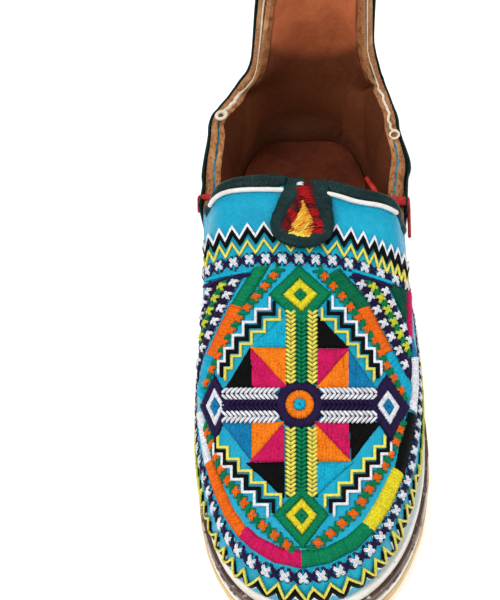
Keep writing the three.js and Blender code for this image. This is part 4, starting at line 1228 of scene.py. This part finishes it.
# the frame of satin bars, by its two long sides
bars = [
    dict(dye="green", a=[(253.5, 268), (231, 304)], b=[(269.5, 267), (244.5, 307.5)]),
    dict(dye="orange", a=[(229.5, 305), (206.7, 353)], b=[(243.5, 309), (218, 358)]),
    dict(dye="cyan", a=[(206, 355), (197, 388)], b=[(215.5, 358), (204, 401)]),
    dict(dye="white", a=[(197, 415), (205, 466)], b=[(203, 412), (212, 460)]),
    dict(dye="orange", a=[(205.7, 466.5), (213.7, 492), (224.9, 517.6), (238, 536.7)],
         b=[(212.9, 460), (223.3, 485.7), (232.8, 508), (247, 528.7)]),
    dict(dye="crimson", a=[(238, 536.7), (252, 549.4), (274, 563), (302, 568.6)],
         b=[(248, 527), (258, 536.5), (280.7, 547.5), (302, 550.5)]),
    dict(dye="green", a=[(302, 568.6), (328.5, 563.8), (357, 549.4), (374, 532)],
         b=[(302, 550.5), (325.3, 547.5), (346.5, 536.5), (362, 522.5)]),
    dict(dye="yellow", a=[(374, 532), (390.7, 508), (403.5, 476)],
         b=[(362.5, 523), (379, 496), (392.5, 468)]),
    dict(dye="black", a=[(404, 475), (409.8, 453.8), (414.6, 430), (416, 417)],
         b=[(394.7, 468), (400.2, 442.6), (405, 420.3), (408, 412)]),
    dict(dye="white", a=[(416.5, 414), (419, 385), (418, 358)], b=[(409, 408), (411, 385), (411, 358)]),
    dict(dye="cyan", a=[(411, 384), (393, 351)], b=[(407, 403), (383.5, 357)]),
    dict(dye="orange", a=[(392, 349.5), (370.5, 307)], b=[(382, 355), (356.5, 311)]),
    dict(dye="midGreen", a=[(371.5, 304.5), (340, 268.5)], b=[(357, 309.5), (326.5, 277)]),
    dict(dye="crimson", a=[(406, 291), (407, 340)], b=[(411, 294), (412, 338)]),
    dict(dye="blue", a=[(408, 341), (411, 357)], b=[(413, 339), (417, 357)])]
sideBlock = dict(dye="deepGreen", corners=[(388, 283), (406, 289), (405, 324)])
for bar in bars:
    satin(photoSpot, bar["a"], bar["b"], bar["dye"], relief["bar"])
longAndShort(photoSpot, **sideBlock)
needlePiece("stitched_bars")

# rays of the star, one block of thread each
blocks = dict(
    cyan=[[(250, 347.5), (286.5, 312.5), (286.5, 347.5)], [(315.5, 462.5), (352.5, 462.5), (316.5, 496)]],
    blue=[[(348.5, 349), (348.5, 388), (374.5, 388)], [(223, 423), (252, 422), (251.5, 461.5)]],
    black=[[(225.5, 389), (250.5, 347), (252.5, 388)], [(317.5, 315), (317.5, 348), (348.5, 348)],
           [(247, 463.5), (284, 462), (284, 498)], [(349, 422.5), (380, 423), (351.5, 461)]],
    crimson=[[(251, 347.5), (252.5, 388), (288, 388)], [(317.5, 349), (348.5, 349), (317.5, 387)],
             [(283.5, 422.5), (284, 462), (250, 462)], [(314.5, 422), (348.5, 422), (350, 461)]],
    brightOrange=[[(251, 347.5), (286.5, 348), (286.5, 388)], [(348.5, 349), (348.5, 388), (316.5, 388)],
                  [(252.5, 422), (284, 422), (252, 461.5)], [(314.5, 422), (350.5, 461.5), (314.5, 461.5)]])
for dye, shapes in blocks.items():
    for corners in shapes:
        longAndShort(photoSpot, corners, dye)
needlePiece("stitched_star")

# the cross of braids over a dark ground, by the sides of the ground and the lines of the braids
upright = dict(spans=((311, 384), (428, 497)), sides=(286, 317.5), ground="deepGreen",
               rows=(("straw", 291), ("green", 301.7), ("straw", 312.4)), braid=dict(half=5.2, pitch=4.3))
level = dict(spans=((277, 224), (322, 375)), sides=(389, 423), ground="navy", forward=417,
             rows=(("white", 394.5), ("navy", 405.8), ("white", 417)),
             braid=dict(half=6.2, pitch=4.6, reach=1.1, radius=0.6))


def boxLine(left, right, low, high):
    return [(left, low), (right, low), (right, high), (left, high)]


for low, high in upright["spans"]:
    longAndShort(photoSpot, boxLine(*upright["sides"], low, high), upright["ground"], relief["ground"])
    for dye, x in upright["rows"]:
        braid(photoSpot, (x, low), (x, high), dye=dye, **upright["braid"])
for span in level["spans"]:
    longAndShort(photoSpot, boxLine(min(span), max(span), *level["sides"]), level["ground"], relief["ground"])
    for dye, y in level["rows"]:
        first, final = sorted(span) if y == level["forward"] else span
        braid(photoSpot, (first, y), (final, y), dye=dye, **level["braid"])
needlePiece("stitched_cross")

# medallion and diamonds, as rings of thread
medallion = dict(middle=(299.8, 404.8), points=49,
                 rings=[("navy", 24.6, 13.6), ("brightOrange", 15.0, 5.6), ("cyan", 6.6, 0.4)])


def roundLine(radius):
    angle = np.linspace(0, 2 * np.pi, medallion["points"])
    return medallion["middle"] + radius * np.stack([np.cos(angle), np.sin(angle)], -1)


def diamondLine(top, right, bottom, left):
    return [top, right, bottom, left, top]


def shrunk(line, share):
    line = np.asarray(line, float)
    return line[:-1].mean(0) + (line - line[:-1].mean(0)) * share


diamonds = [
    dict(corners=diamondLine((299, 265), (332, 294), (303, 326), (268, 295)),
         rings=[("green", 1.0, 0.54), ("yellow", 0.56, 0.2), ("green", 0.22, 0.02)]),
    dict(corners=diamondLine((302, 485), (329, 515), (303, 549), (273, 515)),
         rings=[("green", 1.0, 0.58), ("yellow", 0.58, 0.24), ("green", 0.26, 0.02)]),
    dict(corners=diamondLine((215, 374.5), (232, 405), (216, 441.5), (200, 406)),
         rings=[("navy", 1.0, 0.56), ("white", 0.58, 0.3), ("blue", 0.32, 0.02)]),
    dict(corners=diamondLine((386.5, 374.5), (410, 407), (391, 442.5), (365.5, 404.5)),
         rings=[("navy", 1.0, 0.5), ("white", 0.52, 0.24), ("blue", 0.26, 0.02)])]
for dye, outer, inner in medallion["rings"]:
    satin(photoSpot, roundLine(outer), roundLine(inner), dye, relief["medallion"])
for diamond in diamonds:
    for dye, *shares in diamond["rings"]:
        outer, inner = (shrunk(diamond["corners"], share) for share in shares)
        satin(photoSpot, outer, inner, dye, relief["bar"])
needlePiece("stitched_medallions")

# stepped cords: each quarter has a white, a black and a yellow one
steps = [dict(white=((270, 297), (219.5, 375)), straw=((280, 308.5), (226, 381)), ease=0.5),
         dict(white=((332.5, 296), (380.5, 376)), straw=((322, 308), (373.5, 382)), ease=0.4),
         dict(white=((215, 442), (268, 518)), straw=((219, 436), (281, 507)), ease=-0.3),
         dict(white=((390, 442), (334, 517)), straw=((384, 435), (325, 508)), ease=-0.2)]
stepLook = dict(rises=6, between=0.42, blackRadius=0.82, radius=0.66, lift=0.25)
for quarter in steps:
    lines = {dye: np.array(stairs(*quarter[dye], stepLook["rises"], quarter["ease"]))
             for dye in ("white", "straw")}
    cord(photoSpot, lerp(*lines.values(), stepLook["between"]), "black", stepLook["blackRadius"])
    for dye, line in lines.items():
        cord(photoSpot, line, dye, stepLook["radius"], lift=stepLook["lift"])
needlePiece("stitched_steps")

# inner rows of small orange crosses, and the three-row bands on a navy ground
smallRows = [[(278, 271), (258, 295), (239, 318), (226, 340), (214, 366), (204, 389)],
             [(320, 272), (341, 295), (358, 318), (374.6, 340), (386, 365), (404, 397)],
             [(206, 428), (214, 450), (224, 475), (239, 495), (255, 519), (278, 538), (293, 550)],
             [(312, 548), (334, 531), (356, 511), (370, 488), (385, 464), (396, 441), (402, 424)]]
bandGrounds = [([(244, 277), (228, 304), (205, 353), (196, 384)],
                [(206, 286), (202, 310), (199, 340), (196, 360)]),
               ([(351, 277), (369, 304), (393, 349), (410, 381)],
                [(386, 287), (404, 324), (408, 342), (411, 360)])]
bandRows = [("white", "navy", [(237, 277), (226, 298.4), (214.3, 324), (203, 350), (198, 368)]),
            ("lime", "green", [(225, 281), (214.7, 300.6), (205, 326), (201, 342)]),
            ("white", "navy", [(211, 286), (205, 304), (202, 322)]),
            ("white", "navy", [(357, 279), (370.5, 298.4), (383, 323.4), (397, 349), (407, 372)]),
            ("lime", "green", [(369, 282), (382, 301), (394.6, 325.6), (408, 353)]),
            ("white", "navy", [(382, 286), (392.4, 306), (404, 331), (410, 347)])]
smallLook = dict(pitch=5.3, size=(3.5, 3.4), dye="orange", under="green", underSize=(4.2, 4.6))
bandLook = dict(pitch=5.6, size=(3.9, 4.1), underSize=(5.0, 4.8), radius=0.25, lift=0.5)
groundPitch = 0.6
for inner, outer in bandGrounds:
    satin(photoSpot, inner, outer, "navy", relief["ground"], groundPitch)
for line in smallRows:
    crossRow(photoSpot, line, **smallLook)
for dye, under, line in bandRows:
    crossRow(photoSpot, line, dye=dye, under=under, **bandLook)
needlePiece("stitched_bands")

# border round the toe, in photo pixels: the corners of the yellow zigzag and the middles of the crosses
toeBorder = dict(
    inner=[(203.6, 489), (207, 501), (211, 517.6), (219, 532.5), (226.5, 545.6), (235, 556.6), (246, 567),
           (260.6, 576), (278.8, 581.7), (295.6, 584), (312.9, 585.4), (329.8, 581.7), (346.5, 576.3),
           (361.9, 567.7), (373.7, 557.7), (382, 546), (391, 531.3), (397, 518.6), (404.2, 503.8),
           (408.3, 489.5), (412.9, 475.2), (417, 464)],
    outer=[(203.5, 502), (206.4, 514), (211, 529), (217.5, 547), (224, 560.5), (235.5, 572.6), (249.5, 583),
           (267.7, 590.8), (285, 596), (306.5, 597.5), (323.8, 595), (341.7, 589.8), (360, 581), (373, 573.4),
           (384, 561.2), (394.5, 548.7), (400.6, 534.4), (406.2, 520.6), (410.8, 505.3), (414.4, 491),
           (417.4, 475.7)],
    crosses=[(205, 478), (209.4, 492.4), (214, 508), (221, 524), (229, 538.4), (238.6, 550), (252, 561.5),
             (266, 570.6), (285, 575.8), (303.3, 577.7), (321.5, 575.4), (339, 570.5), (355.2, 561),
             (369, 550), (379.5, 536.4), (388.2, 524), (395.2, 510.3), (401.5, 495.2), (406.6, 481),
             (410.9, 466), (413.2, 450.8), (415.4, 435.7)],
    middle=(305, 470), sides=(240, 380), push=dict(white=(12.5, 9.5), black=(7.5, 5.4), straw=(0, 0)),
    near=5.5, tries=(0.25, 0.5, 0.75, 1), turn=(14, 32), runs=(-90, 90, 0.5), ups=(0, 40, 0.4))
# the same rows along each side, on the wall chart: run and length up from the sole
sideBorder = {1: dict(runs=[69, 85, 102, 128], crosses=[31, 32, 32.5, 33], yellowIn=[20.6, 23, 25, 27],
                      yellowOut=[12.5, 14, 16, 18]),
              -1: dict(runs=[62, 80, 100, 128], crosses=[24.4, 22.5, 21, 20], yellowIn=[18.4, 16, 14.5, 13],
                       yellowOut=[9, 6.5, 5.2, 4.5])}
# each cord is its dye, drop, radius and lift
border = dict(cords=(("white", 4.6, 0.58, -0.1), ("black", 2.5, 1.0, -0.45), ("straw", 0.0, 0.58, 0.6)),
              lowest=0.9, pitch=6.2, step=1.5, points=40)
borderCrosses = dict(size=(4.5, 4.7), dye="white", under="navy", underSize=(5.5, 6.0))
crossPitch = 6.4


def onWall(places):  # wall chart of places round the toe
    runs, ups = np.meshgrid(np.arange(*toeBorder["runs"]), np.arange(*toeBorder["ups"]), indexing="ij")
    chart = np.stack([runs.ravel(), ups.ravel()], -1)
    spots = wallSpot(chart)[0]
    return chart[[np.argmin(((spots - place) ** 2).sum(-1)) for place in places]]


def pushed(line, by):  # moved out from the middle of the border, as far as it stays near on the leather
    way = unit(line - toeBorder["middle"]) * lerp(*by, smooth(line[:, :1], *toeBorder["sides"]))
    home, moved = photoSpot(line)[0], line
    for share in toeBorder["tries"]:
        trial = line + way * share
        near = np.linalg.norm(photoSpot(trial)[0] - home, axis=1) < toeBorder["near"]
        moved = np.where(near[:, None], trial, moved)
    return onWall(photoSpot(moved)[0])


def sideRow(side, key, down=0.0, ahead=0.0):
    rows = sideBorder[side]
    runs = np.linspace(rows["runs"][0] + ahead, rows["runs"][-1], border["points"])
    ups = curveOver(rows["runs"], rows[key])(runs)
    return np.stack([side * runs, np.maximum(ups - down, border["lowest"])], -1)


zigzagLine = np.zeros((len(toeBorder["inner"]) + len(toeBorder["outer"]), 2))
zigzagLine[::2], zigzagLine[1::2] = toeBorder["inner"], toeBorder["outer"]
yellowLine = onWall(photoSpot(zigzagLine)[0])
for dye, down, radius, lift in border["cords"]:
    line = lerp(pushed(zigzagLine, toeBorder["push"][dye]), yellowLine - [0, down],
                smooth(abs(yellowLine[:, :1]), *toeBorder["turn"]))
    cord(wallSpot, np.maximum(line, [-np.inf, border["lowest"]]), dye, radius, border["step"], lift)
    for side in (1, -1):
        middle = (sideRow(side, "yellowOut") + sideRow(side, "yellowIn")) / 2
        low, high = (sideRow(side, key, down) for key in ("yellowOut", "yellowIn"))
        shares = evenShares(wallSpot, middle, border["pitch"] / 2)
        zigzag(wallSpot, low, high, shares, dye, radius, border["step"], lift)
toeShares = peakShares(toeBorder["crosses"])[::2]
crossRow(photoSpot, toeBorder["crosses"], toeShares, **borderCrosses)
for side in (1, -1):
    crossRow(wallSpot, sideRow(side, "crosses", ahead=crossPitch / 2), crossPitch, **borderCrosses)
needlePiece("stitched_border")

# bands round both quarters to the heel, on the wall chart; a row is its height up from the sole
quarter = dict(start=132.0, points=60, top=31.0, fray=0.1, column=dict(dye="crimson", wide=4.0),
               mixedUp=4.6, mixed=dict(size=(4.9, 5.6), dye=("orange", "yellow", "crimson", "white"),
                                       under="green", underSize=(5.9, 6.6)),
               cords=(("white", 10.1), ("navy", 12.5), ("white", 14.9)),
               cord=dict(radius=1.3, step=4.0, lift=-0.2), satin=dict(dye="orange", rows=(16.4, 20.0)),
               limeUp=23.8, lime=dict(size=(4.4, 5.2), dye="lime", under="green", underSize=(5.4, 6.0)),
               zigzag=dict(dye="white", rows=(27.8, 31.0), pitch=3.0, step=1.5))


def quarterRow(side, up):
    runs = np.linspace(quarter["start"], sideRun, quarter["points"])
    return np.stack([side * runs, np.full(quarter["points"], up)], -1)


for side in (1, -1):
    crossRow(wallSpot, quarterRow(side, quarter["mixedUp"]), crossPitch, **quarter["mixed"])
    for dye, up in quarter["cords"]:
        cord(wallSpot, quarterRow(side, up), dye, **quarter["cord"])
    low, high = (quarterRow(side, up) for up in quarter["satin"]["rows"])
    satin(wallSpot, low, high, quarter["satin"]["dye"], fray=quarter["fray"])
    crossRow(wallSpot, quarterRow(side, quarter["limeUp"]), crossPitch, **quarter["lime"])
    peaks, column = quarter["zigzag"], quarter["column"]
    low, high = (quarterRow(side, up) for up in peaks["rows"])
    shares = evenShares(wallSpot, low, peaks["pitch"])
    zigzag(wallSpot, low, high, shares, peaks["dye"], step=peaks["step"])
    front, back = ([(side * run, up) for up in (border["lowest"], quarter["top"])]
                   for run in (quarter["start"] - column["wide"], quarter["start"]))
    satin(wallSpot, front, back, column["dye"], fray=quarter["fray"])
needlePiece("stitched_quarters")

# the flap's own needlework, in photo pixels
flapLook = dict(along=(0, 32, 60), aside=(-12, 12, 30), over=0.6,
                block=dict(arch=0.5, pitch=0.5, lift=0.1, fray=0.7), streak=dict(radius=0.32, lift=0.75))
flapAlong, flapAside = np.meshgrid(*(np.linspace(*flapLook[key]) for key in ("along", "aside")),
                                   indexing="ij")
flapFace, flapWays = flapFrame(flapAlong, flapAside)
flapPhoto, _ = photoChart(flapFace + flapWays * flapLook["over"], flapWays, 2 * vampBack)
flapBlocks = [("maroon", [(295, 197), (298, 209)], [(302, 196), (304, 208)]),
              ("red", [(295.5, 189), (298, 197)], [(309.5, 187.5), (312.5, 195)]),
              ("red", [(301, 196), (304, 203)], [(312.5, 196.5), (315.5, 204)]),
              ("maroon", [(280, 228), (283, 234)], [(288, 218), (293, 226)]),
              ("red", [(287.5, 212), (291, 224)], [(293, 208.5), (299, 216)]),
              ("maroon", [(307, 205), (312, 211)], [(314, 208), (318, 213)]),
              ("red", [(308, 209), (310, 216)], [(319, 211), (320, 216.5)]),
              ("maroon", [(311, 216), (316, 224)], [(320, 217), (324, 224)]),
              ("red", [(311, 219), (314, 227)], [(324, 222), (326, 228)]),
              ("red", [(310, 233), (317, 236)], [(320, 228), (328, 231)]),
              ("gold", [(300, 204), (300.5, 213)], [(304.5, 201.5), (309, 211)]),
              ("gold", [(298, 214), (290, 225), (286, 234), (298, 238)],
               [(306, 207.5), (314, 216), (316, 226), (313, 235)]),
              ("straw", [(287, 235), (303, 239)], [(296, 232), (312, 235.5)]),
              ("white", [(296.5, 184), (297, 185.3)], [(303.5, 183.5), (304, 184.8)])]
flapStreaks = [("straw", (296, 222), (303, 214)), ("straw", (292, 231), (301, 224)),
               ("straw", (303, 231), (310, 223)), ("straw", (297, 236), (305, 230)),
               ("orange", (299, 229), (306, 221)), ("orange", (306, 235), (313, 228)),
               ("orange", (294, 234), (299, 229)), ("orange", (304, 218), (309, 213)),
               ("red", (290, 234), (296, 227)), ("red", (308, 229), (316, 223))]
for dye, left, right in flapBlocks:
    satin(flapPhoto, left, right, dye, **flapLook["block"])
for dye, *line in flapStreaks:
    cord(flapPhoto, line, dye, **flapLook["streak"])
needlePiece("stitched_flap")
print("needlework made")

# floor, light and camera, in metres
stageLook = dict(floor=(246, 246, 246), fleck=(250, 250, 250), fleckScale=3.0, rough=0.9, shine=0.1,
                 floorSize=6.0, sky=0.42, glow=0.35, lampAim=(0, 0, 0.05), clipStart=0.05)
floorMesh = bmesh.new()
bmesh.ops.create_grid(floorMesh, x_segments=1, y_segments=1, size=stageLook["floorSize"] / 2)
floorFinish = Finish("paleFloor", stageLook["rough"], stageLook["shine"])
floorFinish.glow(linear(*stageLook["floor"]), stageLook["glow"])
flecks = floorFinish.noise(stageLook["fleckScale"], detail=2)
floorFinish.colour(floorFinish.mix(flecks, linear(*stageLook["floor"]), linear(*stageLook["fleck"])))
finishPiece(floorMesh, "floor", [floorFinish.material])

world = bpy.data.worlds.new("studio")
bpy.context.scene.world = world
world.use_nodes = True
world.node_tree.nodes["Background"].inputs["Color"].default_value = (1, 1, 1, 1)
world.node_tree.nodes["Background"].inputs["Strength"].default_value = stageLook["sky"]

lamps = dict(keyLeft=dict(at=(-0.9, -0.7, 1.5), size=1.1, watts=22),
             fillRight=dict(at=(1.1, -0.5, 1.1), size=1.2, watts=9),
             rear=dict(at=(0.1, 1.2, 1.2), size=1.0, watts=8))
for name, lamp in lamps.items():
    light = bpy.data.lights.new(name, "AREA")
    light.size, light.energy = lamp["size"], lamp["watts"]
    holder = bpy.data.objects.new(name, light)
    holder.location = lamp["at"]
    aim = Vector(stageLook["lampAim"]) - Vector(lamp["at"])
    holder.rotation_euler = aim.to_track_quat("-Z", "Y").to_euler()
    bpy.context.scene.collection.objects.link(holder)

cameraData = bpy.data.cameras.new("photoCamera")
cameraData.lens = shot["focal"] * cameraData.sensor_width / max(photoSize)
cameraData.clip_start = stageLook["clipStart"]
camera = bpy.data.objects.new("photoCamera", cameraData)
cameraTurn = Matrix((cameraRight, cameraUp, cameraBack)).transposed().to_4x4()
camera.matrix_world = Matrix.Translation(cameraPlace * mm) @ cameraTurn
bpy.context.scene.collection.objects.link(camera)
bpy.context.scene.camera = camera
bpy.context.scene.view_settings.view_transform = "Standard"
